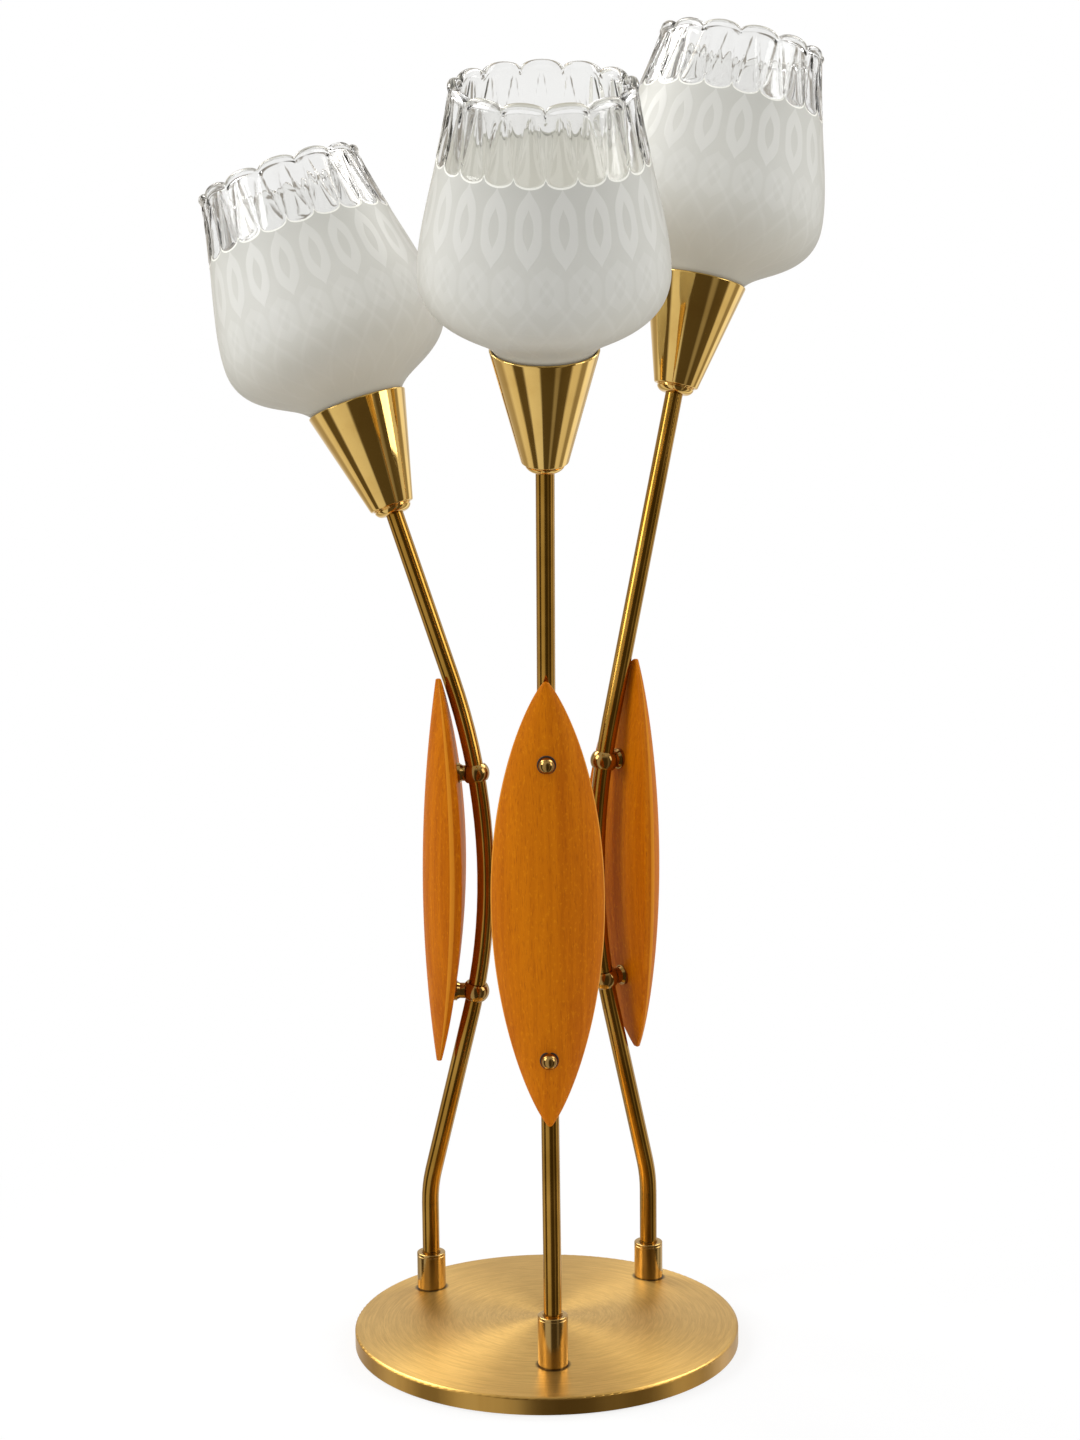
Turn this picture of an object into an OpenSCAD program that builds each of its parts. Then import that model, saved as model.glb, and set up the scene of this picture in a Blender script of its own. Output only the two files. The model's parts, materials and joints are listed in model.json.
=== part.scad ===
// Table lamp with three bent brass stems, each with a wooden leaf panel, a conical cup and a
// tulip-shaped glass shade. Millimetres, +Z up, origin at the centre of the base's underside.
// Values in square brackets are for the front, the left and the right stem, in that order.

/* [Base] */
// Diameter of the round base
base_d = 220; // [205:1:250]
// Height of the base's edge above the table
base_edge_h = 11; // [11:0.5:15]
// How far the domed top rises above its edge
base_crown = 4.2; // [3:0.1:8]
// Wall of the spun brass cover
cover_t = 1.2; // [0.8:0.1:1.4]
// Rounding of the cover's upper edge
edge_round = 1.6; // [0.8:0.1:2.5]
// Felt pad under the base
pad_t = 1.5; // [1:0.1:2]
// Steel plate that closes the base
plate_t = 0.8; // [0.6:0.1:1]
// Bore of the cord inlet in the base's back edge
inlet_bore = 5.4; // [4:0.1:5.6]

/* [Stems] */
// How far the circle on which the three stems stand lies inside the base's edge
foot_inset = 29; // [24:0.5:36]
// Centre of that circle, off the centre of the base
spray_shift = [2, 12]; // [-14:0.5:14]
// Direction of each stem, seen from above
stem_turn = [-89, 149.5, 43.5]; // [-180:0.5:180]
// Outer diameter of the brass tube
tube_d = 10; // [9:0.1:10.5]
// Bore of the brass tube
tube_bore = 8; // [6:0.1:8.4]
// Height at which the stems start to bend inwards
foot_h = 65.5; // [56:0.5:80]
// Radius of the lower bend
foot_bend_r = 75; // [60:1:90]
// Inward lean of the lower straight stretch
foot_lean = 15.4; // [12:0.1:16]
// Length of the lower straight stretch
lower_run = 104; // [90:1:112]
// Radius of the long bend at the waist
waist_bend_r = 307; // [270:1:330]
// Outward lean of each upper straight stretch
stem_lean = [14, 21.5, 16]; // [12:0.5:23]
// Length of each upper straight stretch, up to the cup
upper_run = [180, 103, 196]; // [95:1:210]

/* [Foot collars] */
// Wall of the collars
collar_wall = 3.35; // [2:0.05:4.5]
// Height of each collar
collar_h = [29, 22, 22]; // [16:0.5:34]

/* [Wood panels] */
// Width of the leaf-shaped panels
panel_w = 62.5; // [50:0.5:68]
// Length of each panel
panel_l = [250, 226, 231]; // [190:1:260]
// Direction that each panel faces, seen from above
panel_turn = [-90, 179, 33]; // [-180:0.5:180]
// Thickness of the wood in the middle of the panel
panel_t = 23.6; // [18:0.1:26]
// Thickness of the wood at the panel's long edges, half way up
panel_edge = 5.7; // [4:0.1:8]
// Thickness of the wood at the tips
panel_tip_t = 2.6; // [2:0.1:4]
// Width of the blunt end of the tips
panel_tip_w = 3; // [2:0.1:5]
// Radius of the back along each panel, which bends away from the stem towards the tips
panel_bow_r = [490, 490, 475]; // [420:5:640]
// Fullness of the outline: 1 is pointed, 0.5 is an ellipse
tip_power = 0.8; // [0.65:0.05:1]
// Height of each panel's middle above the middle between its clamps
panel_rise = [3, 6.1, 5.7]; // [0:0.1:8]

/* [Clamps and screws] */
// Height from the lower to the upper clamp of each stem
clamp_span = [165, 128, 128]; // [100:1:170]
// Height of the middle between each stem's clamps, above the waist
clamp_rise = [1.7, -4.7, 0]; // [-6:0.1:4]
// Wall of the clamp rings in the middle of their height
ring_wall = 2.8; // [1.5:0.1:3]
// Height of the clamp ring
ring_h = 9.4; // [6:0.1:9.5]
// Gap between each stem's tube and the back of the wood at the lower clamp
panel_gap = [5.2, 6.8, 6.9]; // [4.6:0.1:7.6]
// Diameter of the boss where it meets the wood
boss_d = 11.6; // [10:0.1:14]
// Diameter of the screws that hold the wood
screw_d = 4; // [3:0.1:4.5]
// Diameter of the ball heads
ball_d = 9; // [8:0.1:10]

/* [Cups] */
// Height of the conical cups
cup_h = 61; // [56:0.5:66]
// Outer diameter of a cup at its mouth
cup_top_d = 57.2; // [56:0.1:62]
// Outer diameter of a cup at its foot
cup_foot_d = 25.4; // [25:0.1:29]
// Wall of the cups
cup_t = 0.9; // [0.6:0.1:1]
// Diameter of the domed cap under a cup
cap_d = 21.5; // [18:0.1:24]
// Height of the domed cap
cap_h = 4.5; // [3:0.1:6]

/* [Lampholders and bulbs] */
// Diameter of the lampholder's sleeve
holder_d = 25; // [23:0.1:25.4]
// How far the lampholder's mouth lies below the cup's mouth
holder_low = 11; // [9:0.5:15]
// Diameter of the bulb's screw cap
bulb_cap_d = 13.8; // [13.7:0.1:14]
// Greatest diameter of the candle bulb
bulb_d = 35; // [30:0.5:36]
// Length of the bulb's glass
bulb_glass_l = 75; // [66:1:78]

/* [Glass shades] */
// How deep the shade's neck sits in the cup
neck_in = 17; // [15:0.5:18]
// Gap between the cup and the lower end of the neck, which the soft ring fills
neck_gap = 1.47; // [1.37:0.01:1.97]
// Greatest diameter of the shade
belly_d = 129.2; // [115:0.2:140]
// Height of the belly above the cup's mouth
belly_rise = 42; // [37:0.5:51]
// Outer diameter of the shade at its open rim
rim_d = 93.2; // [80:0.2:104]
// Height of the rim above the cup's mouth
rim_rise = 137; // [124:0.5:149]
// Wall of the glass
glass_t = 2.6; // [2:0.1:2.8]
// Thickness of the fire-polished bead around the rim
bead_d = 5; // [4:0.1:6]

/* [Hidden] */
SIDES = ["front", "left", "right"];
SIDE_PIECES = [
    "stem_tube", "collar", "inner_lead", "wood_panel", "upper_clamp", "lower_clamp",
    "panel_screws", "cup_cap", "cup", "holder_base", "holder_sleeve", "contact_shell",
    "gasket", "glass_shade", "bulb_glass", "bulb_cap"
];

$fn = 64;
slip = 0.05;                 // radial clearance of a sliding or threaded fit
apart = 0.3;                 // gap between pieces that come apart in use
through = 0.5;               // overshoot of a cutting shape
lap = 0.15;                  // how far a straight stretch of tube laps over a bend
bend_thin = 0.02;            // how much thinner the wall of a bend is on each face
crown_fn = 720;              // fineness of the base's very large crown circle
bend_fn = 360;               // fineness of the long bends
tip_fn = 32;                 // fineness of small domes

// base
base_r = base_d / 2;
foot_r = base_r - foot_inset;
crown_r = (base_r * base_r + base_crown * base_crown) / (2 * base_crown);
crown_zc = base_edge_h + base_crown - crown_r;
cover_low = 1;               // gap between the cover's wall and the table
plate_top = pad_t + plate_t;
pad_in = 5;                  // how far the pad's edge lies inside the base's edge
inner_r = base_r - cover_t - apart;
plate_screw_d = 4;
plate_screw_h = 3;
plate_screw_r = base_r - 18; // circle of the plate's screws
plate_screw_turns = [-30, 95, 210];

// wiring in the base
lead_d = 2.6;
lead_bend_r = 2;
lead_z = plate_top + 0.2 + lead_d / 2;
channel_w = 7;
channel_top = lead_z + lead_d / 2 + 1;
block_d = 30;
block_h = 5.6;
block_entry = 5;             // depth of a wire entry in the terminal block
inlet_z = 6.2;
inlet_flange_d = inlet_bore + 2.1;
inlet_barrel_d = inlet_bore + 1.4;
inlet_in = 3.4;              // depth of the bush behind the cover's face

// what the tube passes through
collar_d = tube_d + 2 * collar_wall;
ring_d = tube_d + 2 * ring_wall;

// lower ends of the stems
nut_af = tube_d + 4;
nut_h = 2.8;
washer_t = 0.8;
washer_d = tube_d + 10;
well_d = washer_d + 4;
nut_z = lead_z + lead_d / 2 + 0.6;
tube_end_z = nut_z - 0.2;
well_top = nut_z + nut_h + washer_t;

// stem line: reach is the distance from the stems' common axis
bend_out = foot_bend_r * (1 - cos(foot_lean));
knee_reach = foot_r - bend_out - lower_run * sin(foot_lean);
knee_z = foot_h + foot_bend_r * sin(foot_lean) + lower_run * cos(foot_lean);
waist_reach = knee_reach - waist_bend_r * (1 - cos(foot_lean));
waist_z = knee_z + waist_bend_r * sin(foot_lean);
thread_up = 11;              // length of the stem's threaded end above the cup's foot

// panels
ball_heads = [1, 0, 0];      // 1: screws pass through to ball heads, 0: they end inside the wood
panel_steps = 36;            // stretches of the panel's surface along its length
arc_steps = 20;              // stretches of the crowned front across its width
screw_from = tube_d / 2 + 0.8; // where the screws start, from the tube's centre line
stud_in = 9;                 // depth of a hidden screw in the wood
seat_d = ball_d + 1.4;
seat_in = 1.3;               // depth of the seat under a ball head
washer_rim_t = 0.5;
boss_t = 2;                  // thickness of the boss's flange
boss_flare = 1.6;            // height of the cone behind the flange
neck_less = 0.4;             // how much thinner the boss's neck is than the ring is high
ring_crown = 0.75;           // crown radius of the ring, as a share of its height

// cups and lampholders
cup_floor = 1.2;
cup_nut_h = 3;
cup_bead_d = 1.5;
neck_h = cup_h - neck_in;
holder_top = cup_h - holder_low;
holder_base_h = 10;
holder_room = 1.4;           // gap around the lampholder's base at its lower edge
holder_base_z = cup_floor + cup_nut_h;
sleeve_z = holder_base_z + holder_base_h;
sleeve_floor = 6;
shell_z = sleeve_z + sleeve_floor;
shell_t = 0.7;
shell_d = bulb_cap_d + 2 * (apart + shell_t);
shell_top = holder_top - 4;
tongue_h = 2;
tongue_d = 4;

// inner radius of a cup at height h, and what stands in it
function cup_in(h) = (cup_foot_d + (cup_top_d - cup_foot_d) * h / cup_h) / 2 - cup_t;
holder_base_d = 2 * (cup_in(holder_base_z) - holder_room);
neck_d = 2 * (cup_in(neck_h) - neck_gap);

// bulb
cap_tip_z = shell_z + shell_t + tongue_h + apart;
bulb_tip_d = 4.8;
bulb_skirt = 5;              // height of the insulated foot of the bulb's cap
glass_from = holder_top - 1;
thread_pitch = 2.8;
thread_depth = 0.5;

// shade
rim_r = rim_d / 2;
belly_h = cup_h + belly_rise;
rim_h = cup_h + rim_rise;
gasket_h = 3.2;
gasket_lip = 3;
outline_n = 14;              // points on each of the shade's three curves

// ---------------------------------------------------------------- functions

// height of the domed top at distance r from the middle, drop below the outer surface
function crown_z(r, drop = 0) = crown_zc + sqrt(pow(crown_r - drop, 2) - r * r);

// foot of stem k on the base
function foot_at(k) = spray_shift + foot_r * [cos(stem_turn[k]), sin(stem_turn[k])];
function foot_crown(k) = crown_z(norm(foot_at(k)));

// lean of stem k, and its reach, at height dz above the waist
function lean_at(k, dz) =
    dz < -waist_bend_r * sin(foot_lean) ? -foot_lean :
    dz > waist_bend_r * sin(stem_lean[k]) ? stem_lean[k] : asin(dz / waist_bend_r);
function reach_at(k, dz) =
    let (lean = lean_at(k, dz), past = abs(dz) - waist_bend_r * abs(sin(lean)))
    waist_reach + waist_bend_r * (1 - cos(lean)) + past * tan(abs(lean));

// upper end of stem k's line, at the foot of its cup
function top_reach(k) = waist_reach + waist_bend_r * (1 - cos(stem_lean[k]))
    + upper_run[k] * sin(stem_lean[k]);
function top_z(k) = waist_z + waist_bend_r * sin(stem_lean[k]) + upper_run[k] * cos(stem_lean[k]);

// half width of a panel at height z from its middle
function half_width(l, z) = panel_w / 2 * pow(max(0, 1 - pow(2 * z / l, 2)), tip_power);

// clamps of stem k: above (side 1) and below (side -1) the waist
function clamp_dz(k, side) = clamp_rise[k] + side * clamp_span[k] / 2;
function stem_point(k, dz) = [
    spray_shift[0] + reach_at(k, dz) * cos(stem_turn[k]),
    spray_shift[1] + reach_at(k, dz) * sin(stem_turn[k]),
    waist_z + dz
];
function clamp_at(k, side) = stem_point(k, clamp_dz(k, side));
function unit(v) = v / norm(v);

// directions of panel k: from clamp to clamp, and out of its front
function panel_up(k) = unit(clamp_at(k, 1) - clamp_at(k, -1));
function panel_out(k) =
    let (face = [cos(panel_turn[k]), sin(panel_turn[k]), 0])
    unit(face - (face * panel_up(k)) * panel_up(k));
function half_span(k) = norm(clamp_at(k, 1) - clamp_at(k, -1)) / 2;

// distances from the clamps' line to the wood of panel k, at height z from its middle
function bow_at(k, z) = panel_bow_r[k] - sqrt(panel_bow_r[k] * panel_bow_r[k] - z * z);
function wood_back(k, z) =
    tube_d / 2 + panel_gap[k] + bow_at(k, z) - bow_at(k, half_span(k) + panel_rise[k]);
function fade(k, z) = 1 - pow(2 * z / panel_l[k], 2);
function wood_edge(k, z) =
    wood_back(k, z) + panel_tip_t / 2 + (panel_edge - panel_tip_t / 2) * fade(k, z);
function wood_front(k, z) =
    wood_back(k, z) + panel_tip_t + (panel_t - panel_tip_t) * fade(k, z);

// outline of the wood across the panel, as points [out, sideways, up]
function wood_slice(k, z) =
    let (w = half_width(panel_l[k], z), edge = wood_edge(k, z), h = wood_front(k, z) - edge,
         r = (w * w + h * h) / (2 * h), half_arc = atan2(w, r - h))
    concat(
        [[wood_back(k, z), w, z], [wood_back(k, z), -w, z]],
        [for (i = [0:arc_steps]) let (a = half_arc * (2 * i / arc_steps - 1))
            [edge + h - r + r * cos(a), r * sin(a), z]]
    );

// point and unit direction of a cubic curve
function curve(p, t) = pow(1 - t, 3) * p[0] + 3 * t * pow(1 - t, 2) * p[1]
    + 3 * t * t * (1 - t) * p[2] + pow(t, 3) * p[3];
function along(p, t) =
    let (d = pow(1 - t, 2) * (p[1] - p[0]) + 2 * t * (1 - t) * (p[2] - p[1]) + t * t * (p[3] - p[2]))
    d / norm(d);
function inward(p, t, by) = curve(p, t) + by * [-along(p, t)[1], along(p, t)[0]];

// the shade's outer curves as control points [radius, height]
flare = [33 / 129.2 * belly_d, neck_h + 23.5];
shade_curves = [
    [[neck_d / 2, neck_h], [neck_d / 2, neck_h + 10], [neck_d / 2 + 2.7, neck_h + 18], flare],
    [flare, flare + [11, 7.1], [belly_d / 2, belly_h - 23], [belly_d / 2, belly_h]],
    [[belly_d / 2, belly_h], [belly_d / 2, belly_h + 25], [rim_r + 3.9, rim_h - 33], [rim_r, rim_h]]
];
function outline(curves, by) = [
    for (c = [0:len(curves) - 1]) for (i = [(c == 0 ? 0 : 1):outline_n])
        inward(curves[c], i / outline_n, by)
];

// the bulb's outer curves
bulb_wide = glass_from + 0.4 * bulb_glass_l;
bulb_curves = [
    [[6.6, glass_from], [6.6, glass_from + 9], [bulb_d / 2, bulb_wide - 14], [bulb_d / 2, bulb_wide]],
    [[bulb_d / 2, bulb_wide], [bulb_d / 2, bulb_wide + 17],
     [5, glass_from + bulb_glass_l - 8], [0.6, glass_from + bulb_glass_l]]
];

// ---------------------------------------------------------------- frames

// X points away from the stems' common axis, along stem k's own plane
module on_stem(k) {
    translate([spray_shift[0], spray_shift[1], 0]) rotate([0, 0, stem_turn[k]]) children();
}

// Z runs up the axis of cup k, from the cup's foot
module on_cup(k) {
    on_stem(k) translate([top_reach(k), 0, top_z(k)]) rotate([0, stem_lean[k], 0]) children();
}

// Z runs along the tube at the upper clamp (side 1) or the lower one (side -1)
module on_tube(k, side) {
    dz = clamp_dz(k, side);
    on_stem(k) translate([reach_at(k, dz), 0, waist_z + dz]) rotate([0, lean_at(k, dz), 0])
        children();
}

// X points out of panel k's front and Z from clamp to clamp; the origin is halfway between them
module on_panel(k) {
    x = panel_out(k);
    z = panel_up(k);
    y = cross(z, x);
    at = (clamp_at(k, 1) + clamp_at(k, -1)) / 2;
    multmatrix([for (i = [0:2]) [x[i], y[i], z[i], at[i]]]) children();
}

// ---------------------------------------------------------------- shared shapes

// a run along stem k's line: a tube, or a solid rod where bore is 0
module stem_run(k, d, bore, from_z, past_top) {
    module section(thin = 0) {
        difference() {
            circle(d = d - 2 * thin);
            if (bore > 0) circle(d = bore + 2 * thin);
        }
    }
    on_stem(k) {
        translate([foot_r, 0, from_z]) linear_extrude(foot_h - from_z + lap) section();
        translate([foot_r - foot_bend_r, 0, foot_h]) rotate([90, 0, 0])
            rotate_extrude(angle = foot_lean, $fn = bend_fn)
                translate([foot_bend_r, 0]) section(bend_thin);
        translate([foot_r - bend_out, 0, foot_h + foot_bend_r * sin(foot_lean)])
            rotate([0, -foot_lean, 0]) translate([0, 0, -lap])
                linear_extrude(lower_run + 2 * lap) section();
        translate([waist_reach + waist_bend_r, 0, waist_z]) rotate([90, 0, 0])
            rotate_extrude(angle = foot_lean + stem_lean[k], start = 180 - stem_lean[k], $fn = bend_fn)
                translate([waist_bend_r, 0]) section(bend_thin);
    }
    on_cup(k) translate([0, 0, -upper_run[k] - lap])
        linear_extrude(upper_run[k] + lap + past_top) section();
}

// everything below the base's domed surface, lowered by drop, out to radius r
module below_crown(r, drop, low) {
    intersection() {
        translate([0, crown_zc]) circle(r = crown_r - drop, $fn = crown_fn);
        translate([0, low]) square([r, base_edge_h + base_crown]);
    }
}

module hexagon_nut(af, h, bore) {
    difference() {
        cylinder(r = af / sqrt(3), h = h, $fn = 6);
        translate([0, 0, -through]) cylinder(d = bore, h = h + 2 * through);
    }
}

// ---------------------------------------------------------------- base

module base_cover() {
    color("goldenrod") difference() {
        rotate_extrude() difference() {
            union() {
                below_crown(base_r - edge_round, 0, cover_low);
                translate([0, cover_low])
                    square([base_r, crown_z(base_r - edge_round) - edge_round - cover_low]);
                translate([base_r - edge_round, crown_z(base_r - edge_round) - edge_round])
                    circle(r = edge_round);
            }
            below_crown(base_r - cover_t, cover_t, cover_low - through);
        }
        for (k = [0:2])
            translate(foot_at(k)) cylinder(d = tube_d + 2 * slip, h = 2 * base_edge_h);
        translate([0, base_r + through, inlet_z]) rotate([90, 0, 0])
            cylinder(d = inlet_barrel_d + 2 * slip, h = cover_t + 2 * through);
    }
}

module base_weight() {
    color("dimgray") difference() {
        rotate_extrude() below_crown(inner_r, cover_t + slip, plate_top);
        for (k = [0:2]) {
            translate(foot_at(k)) cylinder(d = tube_d + 2 * slip, h = 2 * base_edge_h);
            translate([foot_at(k)[0], foot_at(k)[1], 0]) cylinder(d = well_d, h = well_top);
            lead_channel(foot_at(k), channel_w, channel_top);
        }
        cylinder(d = block_d + 1, h = plate_top + block_h);
        lead_channel([0, inner_r], inlet_barrel_d + 1, inlet_z + inlet_barrel_d / 2 - 1);
        translate([0, base_r, inlet_z]) rotate([90, 0, 0])
            cylinder(d = inlet_flange_d + 1.6, h = inlet_in + 3);
        for (turn = plate_screw_turns)
            rotate([0, 0, turn]) translate([plate_screw_r, 0, plate_top - through])
                cylinder(d = plate_screw_d + 2 * slip, h = plate_screw_h + 1 + through);
    }
}

// cutting shape of a wiring channel from the middle of the base to point p
module lead_channel(p, w, top) {
    rotate([0, 0, atan2(p[1], p[0])]) translate([0, -w / 2, 0]) cube([norm(p), w, top]);
}

module base_plate() {
    color("silver") difference() {
        translate([0, 0, pad_t]) cylinder(r = inner_r, h = plate_t);
        for (turn = plate_screw_turns)
            rotate([0, 0, turn]) translate([plate_screw_r, 0, pad_t - through])
                cylinder(d = plate_screw_d + 2 * slip, h = plate_t + 2 * through);
    }
}

module base_pad() {
    color("darkolivegreen") difference() {
        cylinder(r = base_r - pad_in, h = pad_t);
        for (turn = plate_screw_turns)
            rotate([0, 0, turn]) translate([plate_screw_r, 0, -through])
                cylinder(d = 2 * plate_screw_d + 1, h = pad_t + 2 * through);
    }
}

// pan-headed screws that hold the plate to the weight
module plate_screws() {
    color("gainsboro") for (turn = plate_screw_turns)
        rotate([0, 0, turn]) translate([plate_screw_r, 0, 0]) {
            translate([0, 0, pad_t]) cylinder(d = plate_screw_d, h = plate_t + plate_screw_h);
            translate([0, 0, 0.3]) cylinder(d = 2 * plate_screw_d, h = pad_t - 0.3);
        }
}

// joins the three inner leads to the cord
module terminal_block() {
    color("ivory") difference() {
        translate([0, 0, plate_top]) cylinder(d = block_d, h = block_h);
        for (k = [0:2]) block_bore(foot_at(k), lead_d + 2 * slip, lead_z);
        block_bore([0, 1], inlet_bore - 1.4, lead_z + 1);
    }
}

module block_bore(p, d, z) {
    rotate([0, 0, atan2(p[1], p[0])]) translate([block_d / 2 - block_entry, 0, z])
        rotate([0, 90, 0]) cylinder(d = d, h = block_entry + through);
}

// bush that guards the cord where it enters the back of the base
module inlet_bush() {
    color("saddlebrown") translate([0, base_r, inlet_z]) rotate([90, 0, 0]) difference() {
        union() {
            translate([0, 0, -1.5]) cylinder(d = inlet_flange_d, h = 1.5);
            cylinder(d = inlet_barrel_d, h = inlet_in);
            translate([0, 0, cover_t + 0.1]) cylinder(d = inlet_flange_d, h = inlet_in - cover_t - 0.1);
        }
        translate([0, 0, -2]) cylinder(d = inlet_bore, h = inlet_in + 3);
    }
}

module foot_nuts() {
    color("darkgoldenrod") for (k = [0:2])
        translate([foot_at(k)[0], foot_at(k)[1], nut_z])
            hexagon_nut(nut_af, nut_h, tube_d + 2 * slip);
}

module foot_washers() {
    color("silver") for (k = [0:2])
        translate([foot_at(k)[0], foot_at(k)[1], nut_z + nut_h]) difference() {
            cylinder(d = washer_d, h = washer_t);
            translate([0, 0, -through]) cylinder(d = tube_d + 2 * slip, h = washer_t + 2 * through);
        }
}

// ---------------------------------------------------------------- stems

module stem_tube(k) {
    color("peru") stem_run(k, tube_d, tube_bore, tube_end_z, thread_up);
}

// sleeve that hides the stem's hole in the cover; its lower end follows the domed top
module collar(k) {
    top = foot_crown(k) + collar_h[k];
    low = foot_crown(k) - 2;
    color("darkgoldenrod") difference() {
        translate(foot_at(k)) rotate_extrude() polygon([
            [tube_d / 2 + slip, low], [collar_d / 2, low], [collar_d / 2, top - 0.8],
            [collar_d / 2 - 0.8, top], [tube_d / 2 + 0.9, top], [tube_d / 2 + slip, top - 0.7]
        ]);
        rotate_extrude() below_crown(base_r, 0, 0);
    }
}

// two-core lead from the lampholder down the tube and through the base to the terminal block
module inner_lead(k) {
    foot = foot_at(k);
    reach = norm(foot);
    color("lightgray") {
        stem_run(k, lead_d, 0, lead_z + lead_bend_r - lap, shell_z);
        rotate([0, 0, atan2(foot[1], foot[0])]) {
            translate([reach - lead_bend_r, 0, lead_z + lead_bend_r]) rotate([90, 0, 0])
                rotate_extrude(angle = 90, start = -90) translate([lead_bend_r, 0])
                    circle(d = lead_d - 2 * bend_thin);
            translate([block_d / 2 - block_entry + apart, 0, lead_z]) rotate([0, 90, 0])
                cylinder(d = lead_d, h = reach - lead_bend_r - block_d / 2 + block_entry - apart + lap);
        }
    }
}

// ---------------------------------------------------------------- wood panels

// leaf outline, a flat back that bends along its length, and a crowned front
module wood_panel(k) {
    end_z = panel_l[k] / 2 * sqrt(1 - pow(panel_tip_w / panel_w, 1 / tip_power));
    ring_n = arc_steps + 3;
    slices = [for (i = [0:panel_steps]) wood_slice(k, -end_z * cos(180 * i / panel_steps))];
    points = [for (slice = slices) for (p = slice) p];
    sides = [
        for (i = [0:panel_steps - 1]) for (j = [0:ring_n - 1])
            let (a = i * ring_n + j, b = i * ring_n + (j + 1) % ring_n)
            each [[a, a + ring_n, b], [b, a + ring_n, b + ring_n]]
    ];
    bottom = [for (j = [0:ring_n - 1]) j];
    top = [for (j = [ring_n - 1:-1:0]) panel_steps * ring_n + j];
    color("chocolate") on_panel(k) difference() {
        translate([0, 0, panel_rise[k]]) polyhedron(points, concat(sides, [bottom, top]));
        for (side = [-1, 1]) panel_hole(k, side);
    }
}

// screw hole, a flat round seat for the clamp's boss and one for the ball head
module panel_hole(k, side) {
    hole_in = ball_heads[k] == 1 ? panel_t : stud_in + apart;
    translate([0, 0, side * half_span(k)]) rotate([0, 90, 0]) {
        cylinder(d = boss_d + 2 * slip, h = boss_x(k, side) + slip);
        cylinder(d = screw_d + 2 * slip, h = boss_x(k, side) + hole_in);
        if (ball_heads[k] == 1)
            translate([0, 0, seat_x(k, side)]) cylinder(d = seat_d, h = panel_t);
    }
}

// where the clamp's boss and the ball head meet the wood of panel k
function clamp_z(k, side) = side * half_span(k) - panel_rise[k];
function boss_x(k, side) = wood_back(k, clamp_z(k, side))
    + boss_d / 2 * (abs(clamp_z(k, side)) + boss_d / 2) / panel_bow_r[k];
function seat_x(k, side) = wood_front(k, clamp_z(k, side)) - seat_in;

module panel_screws(k) {
    color("darkgoldenrod") on_panel(k) for (side = [-1, 1]) {
        head_x = seat_x(k, side) + washer_rim_t;
        translate([0, 0, side * half_span(k)]) {
            if (ball_heads[k] == 1) {
                translate([screw_from, 0, 0]) rotate([0, 90, 0])
                    cylinder(d = screw_d, h = head_x - screw_from + ball_d / 4);
                intersection() {
                    translate([head_x + ball_d / 4, 0, 0]) sphere(d = ball_d);
                    translate([head_x, -ball_d, -ball_d]) cube(2 * ball_d);
                }
            } else {
                translate([screw_from, 0, 0]) rotate([0, 90, 0])
                    cylinder(d = screw_d, h = boss_x(k, side) + stud_in - screw_from);
            }
        }
    }
}

// thin dark washers in the seats under the ball heads
module panel_washers() {
    color("dimgray") for (k = [0:2]) if (ball_heads[k] == 1) on_panel(k) for (side = [-1, 1])
        translate([seat_x(k, side), 0, side * half_span(k)]) rotate([0, 90, 0]) difference() {
            cylinder(d = seat_d - 0.2, h = washer_rim_t);
            translate([0, 0, -through]) cylinder(d = screw_d + 2 * slip, h = 2 * through + washer_rim_t);
        }
}

// ring around the tube with a flared boss that carries the wood
module clamp(k, side) {
    color("darkgoldenrod") difference() {
        union() {
            on_tube(k, side) rotate_extrude() intersection() {
                translate([0, -ring_h / 2]) square([ring_d / 2, ring_h]);
                translate([ring_d / 2 - ring_crown * ring_h, 0]) circle(r = ring_crown * ring_h);
            }
            on_panel(k) translate([0, 0, side * half_span(k)]) rotate([0, 90, 0]) {
                cylinder(d = ring_h - neck_less, h = boss_x(k, side) - boss_t / 2);
                translate([0, 0, boss_x(k, side) - boss_t - boss_flare])
                    cylinder(d1 = ring_h - neck_less, d2 = boss_d - 1, h = boss_flare);
                translate([0, 0, boss_x(k, side) - boss_t]) cylinder(d = boss_d, h = boss_t);
            }
        }
        on_tube(k, side) translate([0, 0, -ring_d]) cylinder(d = tube_d + 2 * slip, h = 2 * ring_d);
        on_panel(k) translate([screw_from, 0, side * half_span(k)]) rotate([0, 90, 0])
            cylinder(d = screw_d + 2 * slip, h = boss_x(k, side) - screw_from + through);
    }
}

// ---------------------------------------------------------------- cups

// shallow dome that carries the cup
module cup_cap(k) {
    low_d = tube_d + 3.4;
    dome_r = (pow((cap_d - low_d) / 2, 2) + cap_h * cap_h) / (cap_d - low_d);
    color("goldenrod") on_cup(k) rotate_extrude() difference() {
        intersection() {
            translate([0, -cap_h]) square([cap_d / 2, cap_h]);
            union() {
                translate([cap_d / 2 - dome_r, 0]) circle(r = dome_r);
                translate([0, -cap_h]) square([cap_d / 2 - dome_r, cap_h]);
            }
        }
        translate([-1, -cap_h - through])
            square([1 + tube_d / 2 + slip, cap_h + 2 * through]);
    }
}

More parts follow.
